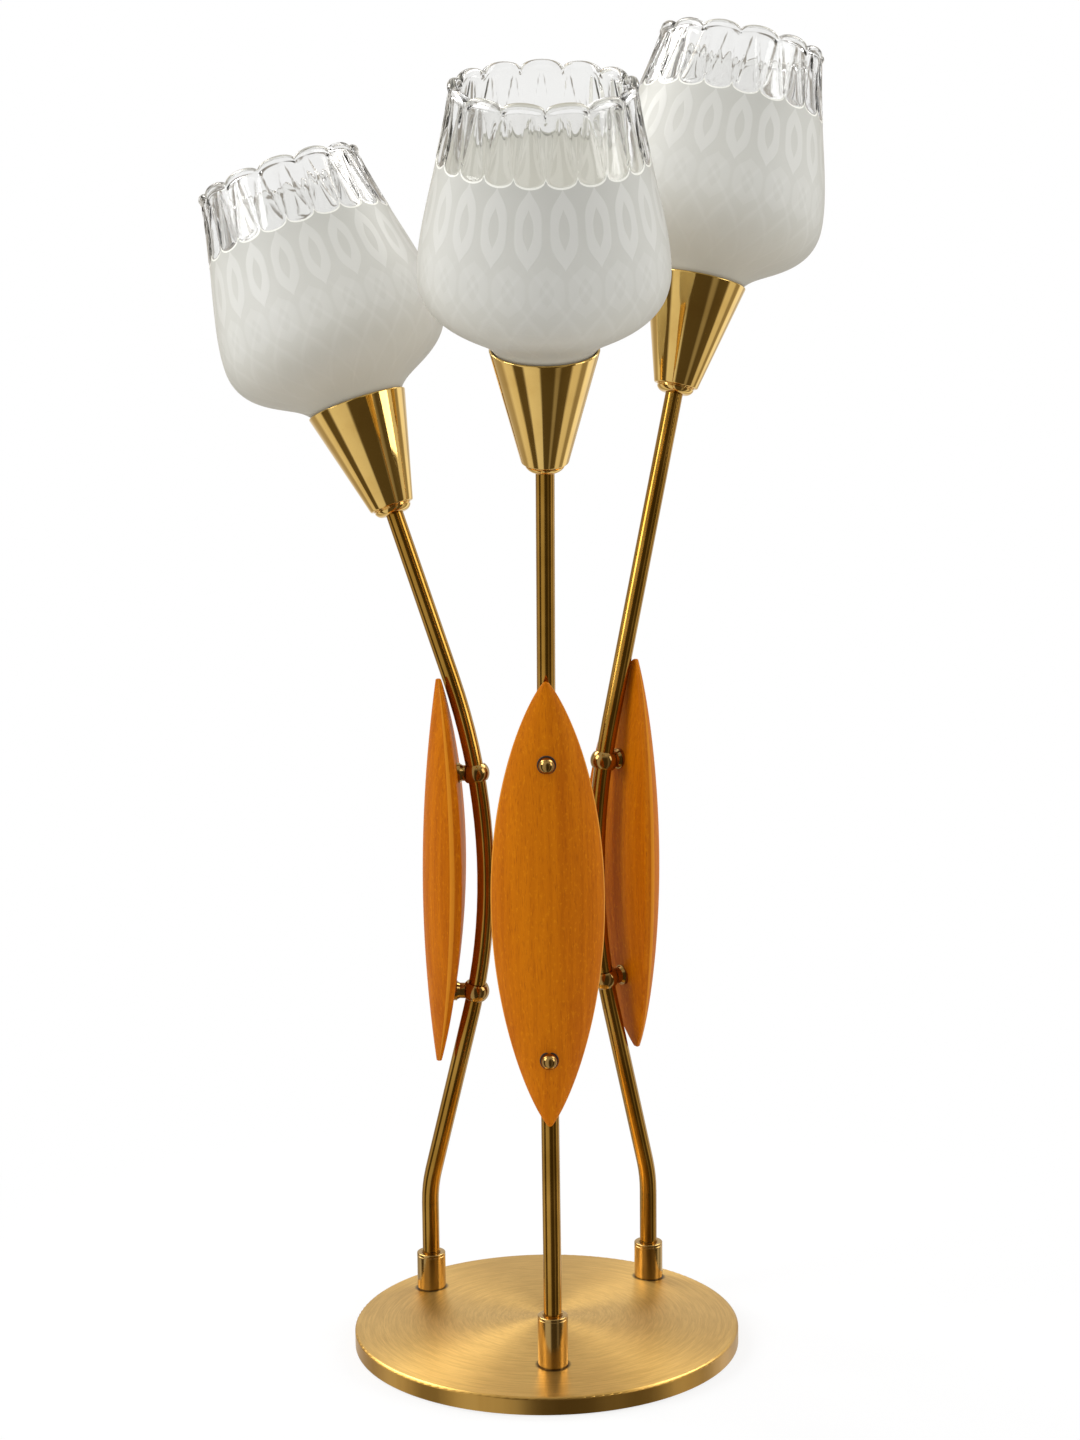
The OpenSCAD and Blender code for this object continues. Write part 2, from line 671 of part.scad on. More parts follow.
module cup(k) {
    foot = cup_foot_d / 2;
    top = cup_top_d / 2;
    color("gold") on_cup(k) rotate_extrude() {
        polygon([
            [tube_d / 2 + slip, 0], [foot, 0], [top, cup_h], [top - cup_t, cup_h],
            [cup_in(cup_floor), cup_floor], [tube_d / 2 + slip, cup_floor]
        ]);
        translate([top - cup_bead_d / 2, cup_h]) circle(d = cup_bead_d, $fn = tip_fn);
    }
}

module cup_nuts() {
    color("darkgoldenrod") for (k = [0:2])
        on_cup(k) translate([0, 0, cup_floor]) hexagon_nut(nut_af, cup_nut_h, tube_d + 2 * slip);
}

// ---------------------------------------------------------------- lampholders

module holder_base(k) {
    color("dimgray") on_cup(k) translate([0, 0, holder_base_z]) difference() {
        cylinder(d = holder_base_d, h = holder_base_h);
        translate([0, 0, -through])
            cylinder(d = tube_d + 2 * slip, h = thread_up - holder_base_z + 2 * through);
        cylinder(d = lead_d + 1.4, h = holder_base_h + through);
    }
}

module holder_sleeve(k) {
    color("ivory") on_cup(k) translate([0, 0, sleeve_z]) difference() {
        cylinder(d = holder_d, h = holder_top - sleeve_z);
        translate([0, 0, sleeve_floor]) cylinder(d = shell_d + 2 * slip, h = holder_top);
        translate([0, 0, -through]) cylinder(d = lead_d + 0.4, h = sleeve_floor + 2 * through);
    }
}

// brass screw shell with the springy centre contact
module contact_shell(k) {
    color("goldenrod") on_cup(k) translate([0, 0, shell_z]) {
        difference() {
            cylinder(d = shell_d, h = shell_top - shell_z);
            translate([0, 0, shell_t]) cylinder(d = shell_d - 2 * shell_t, h = holder_top);
        }
        cylinder(d = tongue_d, h = shell_t + tongue_h);
    }
}

// soft ring that seats the glass in the cone of the cup
module gasket(k) {
    low = neck_h - apart - gasket_h;
    ledge = neck_h - apart;
    top = ledge + gasket_lip;
    bore = neck_d / 2 - glass_t - apart;
    color("whitesmoke") on_cup(k) rotate_extrude() polygon([
        [bore, low], [cup_in(low) - 3 * slip, low], [cup_in(top) - 3 * slip, top],
        [neck_d / 2 + apart + 0.2, top], [neck_d / 2 + apart, ledge], [bore, ledge]
    ]);
}

// ---------------------------------------------------------------- glass

module glass_shade(k) {
    color("white") on_cup(k) rotate_extrude() {
        polygon(concat(
            outline(shade_curves, 0),
            [for (p = [len(shade_curves) * outline_n:-1:0]) outline(shade_curves, glass_t)[p]]
        ));
        translate([rim_r - glass_t / 2, rim_h]) circle(d = bead_d, $fn = tip_fn);
    }
}

module bulb_glass(k) {
    wall = 0.9;
    outer = outline(bulb_curves, 0);
    last = len(outer) - 1;
    color("linen") on_cup(k) rotate_extrude() polygon(concat(
        outer, [[0, glass_from + bulb_glass_l]], [[0, glass_from + bulb_glass_l - 2 * wall]],
        [for (p = [last - 1:-1:0]) outline(bulb_curves, wall)[p]]
    ));
}

// screw cap of the bulb, with its rolled thread and its insulated foot
module bulb_cap(k) {
    turns = 5;
    thread_from = cap_tip_z + bulb_skirt + 1;
    color("lightgray") on_cup(k) {
        difference() {
            translate([0, 0, cap_tip_z + bulb_skirt])
                cylinder(d = bulb_cap_d - 2 * thread_depth, h = glass_from - cap_tip_z - bulb_skirt);
            translate([0, 0, cap_tip_z + bulb_skirt + 1])
                cylinder(d = bulb_cap_d - 2 * thread_depth - 1, h = glass_from);
        }
        for (i = [0:turns - 1])
            translate([0, 0, thread_from + 1 + i * thread_pitch]) rotate_extrude()
                translate([bulb_cap_d / 2 - 0.9, 0]) circle(d = 1.8, $fn = tip_fn);
        translate([0, 0, cap_tip_z]) cylinder(d = bulb_tip_d, h = 1);
        translate([0, 0, cap_tip_z + 1])
            cylinder(d1 = bulb_tip_d + 1, d2 = bulb_cap_d - 2 * thread_depth, h = bulb_skirt - 1);
    }
}

// ---------------------------------------------------------------- drawing

base_cover();
base_weight();
base_plate();
base_pad();
plate_screws();
terminal_block();
inlet_bush();
foot_nuts();
foot_washers();
cup_nuts();
panel_washers();
for (k = [0:2]) {
    stem_tube(k);
    collar(k);
    inner_lead(k);
    wood_panel(k);
    clamp(k, 1);
    clamp(k, -1);
    panel_screws(k);
    cup_cap(k);
    cup(k);
    holder_base(k);
    holder_sleeve(k);
    contact_shell(k);
    gasket(k);
    glass_shade(k);
    bulb_glass(k);
    bulb_cap(k);
}
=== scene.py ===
# %% [markdown]
# # A table lamp with three bent stems, wooden leaves and glass shades
# The lamp was drawn as an exact model first. That model is loaded here as a frame of
# named parts, and this lesson gives the frame its looks: finishes for what is already right, and
# finer pieces where the real lamp is finer than the drawing. Lengths are in metres unless a name
# or a comment says millimetres.

# %% Load the exact model
import json
import math

import bmesh
import bpy
import numpy as np
from mathutils import Matrix, Vector


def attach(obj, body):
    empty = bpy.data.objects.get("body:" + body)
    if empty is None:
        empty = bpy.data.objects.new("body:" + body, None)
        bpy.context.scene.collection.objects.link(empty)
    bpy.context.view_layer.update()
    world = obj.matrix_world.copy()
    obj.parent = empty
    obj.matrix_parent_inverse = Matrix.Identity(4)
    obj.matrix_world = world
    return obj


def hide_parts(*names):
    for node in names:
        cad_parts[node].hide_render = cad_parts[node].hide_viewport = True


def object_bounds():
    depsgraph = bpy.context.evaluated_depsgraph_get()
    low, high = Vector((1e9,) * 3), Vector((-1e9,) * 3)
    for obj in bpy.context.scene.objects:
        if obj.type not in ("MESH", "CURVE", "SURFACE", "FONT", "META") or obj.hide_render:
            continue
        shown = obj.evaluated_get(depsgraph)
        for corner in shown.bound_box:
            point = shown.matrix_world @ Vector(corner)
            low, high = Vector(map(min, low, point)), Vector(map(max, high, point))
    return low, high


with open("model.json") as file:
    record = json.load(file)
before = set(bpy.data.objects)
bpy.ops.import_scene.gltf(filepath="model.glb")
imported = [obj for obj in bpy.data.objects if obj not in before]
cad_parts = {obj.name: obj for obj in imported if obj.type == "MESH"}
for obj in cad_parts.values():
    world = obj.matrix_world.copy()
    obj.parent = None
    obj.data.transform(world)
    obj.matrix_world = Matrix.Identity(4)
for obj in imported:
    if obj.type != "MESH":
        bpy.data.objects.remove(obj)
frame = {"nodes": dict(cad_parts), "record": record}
cad_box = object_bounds()
scene = bpy.context.scene
print("parts in the frame:", len(frame["nodes"]), "box:", [list(map(float, c)) for c in cad_box])

# %% [markdown]
# ## The camera
# The picture was taken from the height of the glasses, 1.75 m in front of the lamp, looking down by
# 11 degrees. A long lens gives that calm, nearly parallel view. A camera in Blender looks along
# its own -Z, so its matrix holds three directions: right, up and backwards.

# %% Camera
IMAGE_W, IMAGE_H = 1080, 1440
SENSOR_H = 36
FOCAL_PX = 3214
camera_at = Vector((0.002, -1.748, 0.705))
pitch, yaw, roll = (math.radians(a) for a in (-11.05, -0.08, -0.57))

ahead = Vector((math.sin(yaw) * math.cos(pitch), math.cos(yaw) * math.cos(pitch), math.sin(pitch)))
level = Vector((math.cos(yaw), -math.sin(yaw), 0))
upright = level.cross(ahead)
right = math.cos(roll) * level + math.sin(roll) * upright
up = math.cos(roll) * upright - math.sin(roll) * level

lens_data = bpy.data.cameras.new("view_camera")
lens_data.sensor_fit = "VERTICAL"
lens_data.sensor_height = SENSOR_H
lens_data.sensor_width = SENSOR_H * IMAGE_W / IMAGE_H
lens_data.lens = SENSOR_H * FOCAL_PX / IMAGE_H
lens_data.clip_end = 50
camera = bpy.data.objects.new("view_camera", lens_data)
camera.matrix_world = Matrix.Translation(camera_at) @ Matrix(
    [[right[i], up[i], -ahead[i]] for i in range(3)]).to_4x4()
scene.collection.objects.link(camera)
scene.camera = camera
scene.view_settings.view_transform = "Standard"
print("lens:", round(lens_data.lens, 2), "mm")

# %% [markdown]
# ## Sums on sockets
# A shader is a small calculation. Written node by node it is hard to read, so a `Wire` stands for
# one socket, and `+ - * /` on wires add the Math nodes. Numbers meet in a Math node and points in a
# Vector Math node. A `Finish` is one material, or the world, with a single method that adds any
# other node: its type, its settings, and what goes in.

# %% A wire
class Wire:
    """One output socket that can be used in sums."""

    def __init__(self, finish, socket):
        self.finish, self.socket = finish, socket

    def sum_with(self, operation, other=None, swap=False):
        pair = [self] if other is None else [other, self] if swap else [self, other]
        wide = any(isinstance(p, Wire) and p.socket.type == "VECTOR" for p in pair)
        kind = "ShaderNodeVectorMath" if wide else "ShaderNodeMath"
        values = {i: (p,) * 3 if wide and isinstance(p, (int, float)) else p
                  for i, p in enumerate(pair)}
        return self.finish.add(kind, {"operation": operation}, values)[0]

    def __add__(self, other): return self.sum_with("ADD", other)
    def __radd__(self, other): return self.sum_with("ADD", other, True)
    def __sub__(self, other): return self.sum_with("SUBTRACT", other)
    def __rsub__(self, other): return self.sum_with("SUBTRACT", other, True)
    def __mul__(self, other): return self.sum_with("MULTIPLY", other)
    def __rmul__(self, other): return self.sum_with("MULTIPLY", other, True)
    def __truediv__(self, other): return self.sum_with("DIVIDE", other)
    def __rtruediv__(self, other): return self.sum_with("DIVIDE", other, True)
    def __pow__(self, other): return self.sum_with("POWER", other)
    def __abs__(self): return self.sum_with("ABSOLUTE")

    def step(self, low, high):
        """0 at low, 1 at high, and smooth between them; low may be the larger one."""
        return self.finish.add("ShaderNodeMapRange", {"interpolation_type": "SMOOTHSTEP"},
                               {"Value": self, "From Min": low, "From Max": high})[0]


class Outputs:
    """The outputs of a node, by name or by number."""

    def __init__(self, finish, node):
        self.finish, self.node = finish, node

    def __getitem__(self, key):
        return Wire(self.finish, self.node.outputs[key])


print("a wire knows + - * / **, abs and step")


# %% A finish
class Finish:
    """A material, or the world, built from wires."""

    def __init__(self, name, owner=None):
        self.owner = owner or bpy.data.materials.new(name)
        self.owner.use_nodes = True
        self.tree = self.owner.node_tree
        self.tree.nodes.clear()

    def add(self, kind, settings=None, values=None):
        """Any node: its type, its settings (with a ramp's stops), and what its sockets get."""
        node = self.tree.nodes.new(kind)
        for name, setting in (settings or {}).items():
            if name == "stops":
                ramp = node.color_ramp.elements
                while len(ramp) < len(setting):
                    ramp.new(1.0)
                for element, (place, colour) in zip(ramp, setting):
                    element.position, element.color = place, colour
            else:
                setattr(node, name, setting)
        for name, value in (values or {}).items():
            socket = node.inputs[name]
            if isinstance(value, Wire):
                self.tree.links.new(value.socket, socket)
            elif isinstance(value, tuple) and len(value) == 3 and socket.type == "RGBA":
                socket.default_value = (*value, 1)
            else:
                socket.default_value = value
        return Outputs(self, node)

    def place(self, frame_of="Object"):
        """Where a point is: x, y, z and the point. "own" is the piece's own upright frame."""
        if frame_of == "own":
            point = self.add("ShaderNodeAttribute", {"attribute_name": "own_place"})["Vector"]
        else:
            point = self.add("ShaderNodeTexCoord")[frame_of]
        parts = self.add("ShaderNodeSeparateXYZ", {}, {0: point})
        return parts[0], parts[1], parts[2], point

    def vector(self, x, y, z):
        return self.add("ShaderNodeCombineXYZ", {}, {0: x, 1: y, 2: z})[0]

    def noise(self, where, scale, detail=2.0, roughness=0.5):
        return self.add("ShaderNodeTexNoise", {}, {
            "Vector": where, "Scale": scale, "Detail": detail, "Roughness": roughness})[0]

    def angle(self, north, east):
        """The compass angle of a direction, in radians."""
        return self.add("ShaderNodeMath", {"operation": "ARCTAN2"}, {0: north, 1: east})[0]

    def fraction(self, wire):
        """What is left of a wire above its whole number."""
        return self.add("ShaderNodeMath", {"operation": "FRACT"}, {0: wire})[0]

    def blend(self, share, low, high):
        """Mixes two colours by a share from 0 to 1."""
        return self.add("ShaderNodeMix", {"data_type": "RGBA"}, {0: share, 6: low, 7: high})[2]

    def bump(self, height, depth, strength=1.0):
        return self.add("ShaderNodeBump", {}, {
            "Height": height, "Distance": depth, "Strength": strength})[0]

    def surface(self, **values):
        """One Principled shader, with its sockets named in words."""
        named = {k.replace("_", " ").title().replace("Ior", "IOR"): v for k, v in values.items()}
        shader = self.add("ShaderNodeBsdfPrincipled", {}, named)
        return self.show(shader["BSDF"])

    def show(self, shader):
        kind = "World" if isinstance(self.owner, bpy.types.World) else "Material"
        out = self.tree.nodes.new(f"ShaderNodeOutput{kind}")
        self.tree.links.new(shader.socket, out.inputs["Surface"])
        return self.owner


print("a finish knows:", [n for n in vars(Finish) if "_" not in n])

# %% [markdown]
# ## Studio
# A polished cone mirrors whatever stands around it, so the room matters as much as the metal. The
# world answers each kind of ray in its own way. Rays that only light the lamp meet an even pale
# room. Mirror rays meet soft boxes with dark gaps, given by compass direction, which draw the
# upright bands on cups and tubes. Rays that were bent by clear glass meet narrow dark gaps as well,
# and those draw the flutes. The floor is a white disc that keeps the shadow, fades into the white
# around it and lets mirror rays through.

# %% Directions in the room
world_owner = bpy.data.worlds.new("studio")
scene.world = world_owner
studio = Finish("studio", world_owner)
east, north, height_up, _ = studio.place("Generated")
turn_share = studio.angle(north, east) / (2 * math.pi) + 0.5


def room_stops(*directions):
    """Stops for a ramp from (compass degrees, brightness, warmth), going up from 180 to 540.

    Warmth takes some of the green and more of the blue away.
    """
    stops = []
    for degrees, bright, warmth in directions:
        share = 1.0 if degrees == 540 else ((degrees / 360 + 0.5) % 1.0)
        green, blue = bright * (1 - 0.16 * warmth), bright * (1 - 0.42 * warmth)
        stops.append((share, (bright, green, blue, 1)))
    return stops


# %% Soft boxes, panes and gaps
soft_boxes = studio.add("ShaderNodeValToRGB", {"stops": room_stops(
    (180, 0.72, 0.4), (185, 0.12, 1.4), (206, 0.12, 1.4), (212, 0.86, 0.1), (252, 0.76, 0.1),
    (258, 0.10, 1.4), (300, 0.09, 1.4), (306, 0.32, 0.6), (314, 0.30, 0.6), (320, 0.10, 1.4),
    (345, 0.12, 1.4), (351, 0.80, 0.3), (368, 0.76, 0.3), (374, 0.34, 0.8), (386, 0.36, 0.8),
    (392, 1.20, 0.0), (408, 1.10, 0.0), (416, 0.55, 0.6), (435, 0.85, 0.3), (470, 0.85, 0.3),
    (495, 0.50, 0.7), (511, 0.46, 0.7), (521, 0.88, 0.2), (540, 0.80, 0.3))},
    {0: turn_share})[0]
overhead = height_up.step(0.50, 0.90)
mirror_room = studio.blend(overhead, soft_boxes, (0.80, 0.78, 0.74))
# two bright panes high up behind the lamp pull the brushed base into bright fans
PANES = (((-0.60, 0.36, 0.71), 6.0), ((0.62, 0.33, 0.71), 4.0))
for (px, py, pz), strength in PANES:
    facing = east * px + north * py + height_up * pz
    mirror_room = studio.blend(facing.step(0.93, 0.975), mirror_room,
                               (strength, strength * 0.95, strength * 0.86))
# the room behind clear glass: white, with a dark gap every 45 degrees that fades far up and down
GAP_COUNT = 8
gap_wave = studio.add("ShaderNodeMath", {"operation": "COSINE"},
                      {0: turn_share * (2 * math.pi * GAP_COUNT)})[0]
gaps = gap_wave.step(-0.55, 0.25)
steep = 1 - abs(height_up).step(0.50, 0.72) * 0.62
bent_room = studio.blend(gaps * steep, (0.33, 0.30, 0.26), (1.0, 1.0, 1.0))
ray = studio.add("ShaderNodeLightPath")
lit_by = studio.blend(ray["Is Glossy Ray"], (0.66, 0.66, 0.66), mirror_room)
behind = studio.blend(ray["Is Transmission Ray"], lit_by, bent_room)
seen = studio.blend(ray["Is Camera Ray"], behind, (1.0, 1.0, 1.0))
studio.show(studio.add("ShaderNodeBackground", {}, {"Color": seen, "Strength": 1.0})["Background"])
print("panes:", len(PANES), "gaps:", GAP_COUNT)

# %% Floor
FLOOR_R = 0.62
FADE_FROM, FADE_TO = 0.115, FLOOR_R * 0.75
floor_mesh = bpy.data.meshes.new("floor")
bm = bmesh.new()
bmesh.ops.create_circle(bm, cap_ends=True, segments=128, radius=FLOOR_R)
bm.to_mesh(floor_mesh)
bm.free()
floor = bpy.data.objects.new("floor", floor_mesh)
scene.collection.objects.link(floor)
print("floor radius:", FLOOR_R)

# %% White paper of the floor
paper = Finish("white_paper")
x, y, _, _ = paper.place()
from_middle = (x * x + y * y) ** 0.5
fade = from_middle.step(FADE_FROM, FADE_TO)
diffuse = paper.add("ShaderNodeBsdfDiffuse", {}, {"Color": (0.90, 0.90, 0.90)})[0]
glow = paper.add("ShaderNodeEmission", {}, {"Color": (1.0, 1.0, 1.0), "Strength": 1.0})[0]
through = paper.add("ShaderNodeBsdfTransparent")[0]
ray = paper.add("ShaderNodeLightPath")
bright = (ray["Is Camera Ray"] + ray["Is Transmission Ray"]) * (0.80 + fade * 0.20)
ground = paper.add("ShaderNodeMixShader", {}, {0: bright, 1: diffuse, 2: glow})[0]
floor.data.materials.append(paper.show(
    paper.add("ShaderNodeMixShader", {}, {0: ray["Is Glossy Ray"], 1: ground, 2: through})[0]))
print("the paper fades from", FADE_FROM, "to", round(FADE_TO, 3))

# %% Lamps of the studio
def soft_box(name, place, aim, size, power):
    """A lamp as wide and high as its size, turned to the point it aims at; power is in watts."""
    data = bpy.data.lights.new(name, "AREA")
    data.shape = "RECTANGLE"
    data.size, data.size_y, data.energy = *size, power
    lamp = bpy.data.objects.new(name, data)
    lamp.matrix_world = Matrix.Translation(place) @ (
        Vector(aim) - Vector(place)).to_track_quat("-Z", "Y").to_matrix().to_4x4()
    scene.collection.objects.link(lamp)


WAIST_AIM, BASE_AIM = (0, 0, 0.35), (0, 0, 0.05)
soft_box("key", (-1.85, -0.55, 1.55), WAIST_AIM, (0.9, 1.2), 22)
soft_box("fill", (1.85, -0.55, 1.15), WAIST_AIM, (0.8, 1.2), 9.5)
soft_box("left_back", (-1.15, 0.85, 1.7), BASE_AIM, (0.5, 0.8), 10)
soft_box("right_back", (1.2, 0.8, 1.6), BASE_AIM, (0.5, 0.8), 7)

# %% [markdown]
# ## The lamp's own measures
# A finer piece has to sit exactly where its plain part sits. The few driving sizes of the exact
# model are written down again, in millimetres and degrees, and the same sums give the places. Where
# the three stems differ, a size holds three numbers, for the front, left and right stem. Each stem
# rises straight, leans in, passes a narrow waist on a wide bend, and leans out to its cup.

# %% Sizes in millimetres
MM = 0.001
SIDES = ("front", "left", "right")
# the stems' common axis, then the compass turn, the outward lean and the upper straight of each
SPRAY = Vector((2, 12, 0))
STEM_TURN = (-89, 149.5, 43.5)
STEM_LEAN = (14, 21.5, 16)
UPPER_RUN = (180, 103, 196)
FOOT_R, FOOT_H, FOOT_BEND_R, FOOT_LEAN, LOWER_RUN = 81, 65.5, 75, 15.4, 104
WAIST_BEND_R, TUBE_R = 307, 5
BASE_R, EDGE_H, CROWN = 110, 11, 4.2
# leaves: width, length and facing, then thickness in the middle, at the edge and at the tip, the
# tip's width and how fast it narrows, and last the bend of the back and where the leaf hangs
PANEL_W, PANEL_L, PANEL_TURN = 62.5, (250, 226, 231), (-90, 179, 33)
PANEL_T, PANEL_EDGE, TIP_T, TIP_W, TIP_POWER = 23.6, 5.7, 2.6, 3, 0.8
BOW_R, PANEL_RISE, PANEL_GAP = (490, 490, 475), (3, 6.1, 5.7), (5.2, 6.8, 6.9)
CLAMP_SPAN, CLAMP_RISE = (165, 128, 128), (1.7, -4.7, 0)
COLLAR_D, COLLAR_H = 16.7, (29, 22, 22)
CUP_H, CUP_R, CUP_FOOT_R, CUP_T, CUP_FLOOR, CUP_BEAD_R = 61, 28.6, 12.7, 0.9, 1.2, 0.75
CAP_R, CAP_H, SLIP = 10.75, 4.5, 0.05
print("leaves:", PANEL_L, "mm long; cup:", CUP_H, "mm high; base:", 2 * BASE_R, "mm wide")


# %% Where a stem runs
def sin(a): return math.sin(math.radians(a))
def cos(a): return math.cos(math.radians(a))


# the knee is where the lower straight ends and the waist's bend begins
knee_reach = FOOT_R - FOOT_BEND_R * (1 - cos(FOOT_LEAN)) - LOWER_RUN * sin(FOOT_LEAN)
knee_z = FOOT_H + FOOT_BEND_R * sin(FOOT_LEAN) + LOWER_RUN * cos(FOOT_LEAN)
WAIST_REACH = knee_reach - WAIST_BEND_R * (1 - cos(FOOT_LEAN))
WAIST_Z = knee_z + WAIST_BEND_R * sin(FOOT_LEAN)


def stem_frame(k):
    """X away from the stems' common axis in the plane of stem k, Z up."""
    return Matrix.Translation(SPRAY) @ Matrix.Rotation(math.radians(STEM_TURN[k]), 4, "Z")


def lean_at(k, dz):
    """Outward lean of stem k at a height above its waist."""
    if dz < -WAIST_BEND_R * sin(FOOT_LEAN):
        return -FOOT_LEAN
    if dz > WAIST_BEND_R * sin(STEM_LEAN[k]):
        return STEM_LEAN[k]
    return math.degrees(math.asin(dz / WAIST_BEND_R))


def reach_at(k, dz):
    """Distance of stem k from the common axis at a height above its waist."""
    lean = lean_at(k, dz)
    past = abs(dz) - WAIST_BEND_R * abs(sin(lean))
    return WAIST_REACH + WAIST_BEND_R * (1 - cos(lean)) + past * abs(sin(lean)) / cos(lean)


def cup_frame(k):
    """Z along the axis of cup k, from the cup's foot."""
    lean = STEM_LEAN[k]
    reach = WAIST_REACH + WAIST_BEND_R * (1 - cos(lean)) + UPPER_RUN[k] * sin(lean)
    rise = WAIST_Z + WAIST_BEND_R * sin(lean) + UPPER_RUN[k] * cos(lean)
    return stem_frame(k) @ Matrix.Translation((reach, 0, rise)) @ Matrix.Rotation(
        math.radians(lean), 4, "Y")


for k, side in enumerate(SIDES):
    print(side, "cup foot:", [round(c, 1) for c in cup_frame(k).translation])


# %% Where a leaf hangs
def clamp_at(k, side):
    """Middle of the clamp ring on the stem's axis; side is 1 for the upper and -1 for the lower."""
    dz = CLAMP_RISE[k] + side * CLAMP_SPAN[k] / 2
    return stem_frame(k) @ Vector((reach_at(k, dz), 0, WAIST_Z + dz))


def half_span(k): return (clamp_at(k, 1) - clamp_at(k, -1)).length / 2


def panel_frame(k):
    """Z from clamp to clamp, X out of the front of panel k; the origin is halfway between them."""
    low, high = clamp_at(k, -1), clamp_at(k, 1)
    along = (high - low).normalized()
    face = Vector((cos(PANEL_TURN[k]), sin(PANEL_TURN[k]), 0))
    outwards = (face - face.dot(along) * along).normalized()
    placed = Matrix((outwards, along.cross(outwards), along)).transposed().to_4x4()
    placed.translation = (low + high) / 2
    return placed


for k, side in enumerate(SIDES):
    print(side, "clamps lie", round(2 * half_span(k), 1), "mm apart")


# %% Where a stem leaves the base
def foot_place(k): return stem_frame(k) @ Vector((FOOT_R, 0, 0))


def crown_height(radius):
    """Height of the base's domed top at a distance from its middle."""
    dome_r = (BASE_R ** 2 + CROWN ** 2) / (2 * CROWN)
    return EDGE_H + CROWN - dome_r + math.sqrt(dome_r ** 2 - radius ** 2)


print("top of the base's dome:", round(crown_height(0), 1), "mm")

# %% [markdown]
# ## Making meshes
# Most metal pieces were turned on a lathe or spun, so one helper turns an outline round an axis.
# Every mesh is smooth, except along edges that bend by more than a chosen angle. A piece is built
# in millimetres in a frame of its own and scaled once.

# %% Mesh helpers
def to_object(name, bm, placed, material, crease=35):
    """Finishes a mesh that was built in millimetres in an upright frame and puts it in its place.

    The turn goes into the points themselves, so the object stays square to the row. Each point
    keeps its own upright place, in metres, as "own_place", for the finishes to read.
    """
    bmesh.ops.recalc_face_normals(bm, faces=bm.faces)
    for face in bm.faces:
        face.smooth = True
    for edge in bm.edges:
        if len(edge.link_faces) == 2 and edge.calc_face_angle(0) > math.radians(crease):
            edge.smooth = False
    own, turn = [], placed.to_3x3()
    for vert in bm.verts:
        own.extend(vert.co * MM)
        vert.co = turn @ vert.co * MM
    mesh = bpy.data.meshes.new(name)
    bm.to_mesh(mesh)
    bm.free()
    mesh.attributes.new("own_place", "FLOAT_VECTOR", "POINT").data.foreach_set("vector", own)
    piece = bpy.data.objects.new(name, mesh)
    piece.location = placed.translation * MM
    scene.collection.objects.link(piece)
    mesh.materials.append(material)
    return piece


def add_grid(bm, rows, joined=False):
    """Faces between rings of points. joined: the last ring meets the first."""
    rings = [[bm.verts.new(p) for p in row] for row in rows]
    n = len(rings[0])
    pairs = list(zip(rings, rings[1:])) + ([(rings[-1], rings[0])] if joined else [])
    faces = []
    for low, high in pairs:
        for j in range(n):
            m = (j + 1) % n
            faces.append(bm.faces.new((low[j], low[m], high[m], high[j])))
    return rings, faces


def turned(name, outline, placed, material, around=96):
    """Turns a closed outline of (radius, height) points round Z."""
    bm = bmesh.new()
    angles = [2 * math.pi * j / around for j in range(around)]
    rows = [[(r * math.cos(a), r * math.sin(a), height) for a in angles] for r, height in outline]
    add_grid(bm, rows, joined=True)
    bmesh.ops.remove_doubles(bm, verts=bm.verts, dist=1e-3)
    return to_object(name, bm, placed, material)


def arc(centre, radius, start, end, steps):
    """Points on an arc, with angles in degrees."""
    return [(centre[0] + radius * cos(start + (end - start) * i / steps),
             centre[1] + radius * sin(start + (end - start) * i / steps)) for i in range(steps + 1)]


print("points on a quarter arc in four steps:", len(arc((0, 0), 1, 0, 90, 4)))

# %% [markdown]
# ## Brass in its different states
# One alloy, many finishes. The base was brushed in rings while it turned, so its fine scratches
# run round the middle and pull every highlight into a bright fan. The tubes were drawn and have
# darkened with age; the collars get a lighter copy of that finish, as painted light. The cups are
# polished like mirrors. Clamps and screws are polished too, but handling has browned them. The
# contacts in the bulb holders are matt.

# %% Satin brass of the base, brushed in rings
def satin_brass():
    f = Finish("satin_brass")
    x, y, z, point = f.place()
    radius = (x * x + y * y) ** 0.5
    # a direction in the ring plane that has no seam, and the radius in fine steps
    east, north = x / (radius + 0.001), y / (radius + 0.001)
    hair = f.noise(f.vector(east * 9, north * 9, radius * 2600), 1.0, 3.0, 0.7)
    rings = f.noise(f.vector(east * 4, north * 4, radius * 700), 1.0, 3.0, 0.6)
    cloud = f.noise(point, 16.0, 3.0, 0.6)
    tone = f.blend(rings.step(0.3, 0.7), (0.60, 0.375, 0.105), (0.72, 0.470, 0.145))
    tone = f.blend(hair.step(0.45, 0.75) * 0.45, tone, (0.42, 0.25, 0.065))
    tone = f.blend(cloud.step(0.45, 0.8) * 0.25, tone, (0.48, 0.285, 0.08))
    # the straight edge below the dome is darker
    side = z.step(0.0112, 0.0100)
    tone = f.blend(side * 0.60, tone, (0.40, 0.205, 0.035))
    # painted shadow: a dark ring on the base round each collar's foot
    collar_r = COLLAR_D / 2 * MM
    for k in range(3):
        foot = foot_place(k) * MM
        near = ((x - foot.x) * (x - foot.x) + (y - foot.y) * (y - foot.y)) ** 0.5
        painted_shadow = 1 - near.step(collar_r + 0.0002, collar_r + 0.0022)
        tone = f.blend(painted_shadow * 0.85, tone, (0.05, 0.025, 0.006))
    return f.surface(base_color=tone, metallic=1.0, anisotropic=0.75, anisotropic_rotation=0.25,
                     roughness=0.30 + hair * 0.10 + cloud * 0.03,
                     normal=f.bump(hair * 0.6 + rings * 0.4, 0.00005, 0.5))


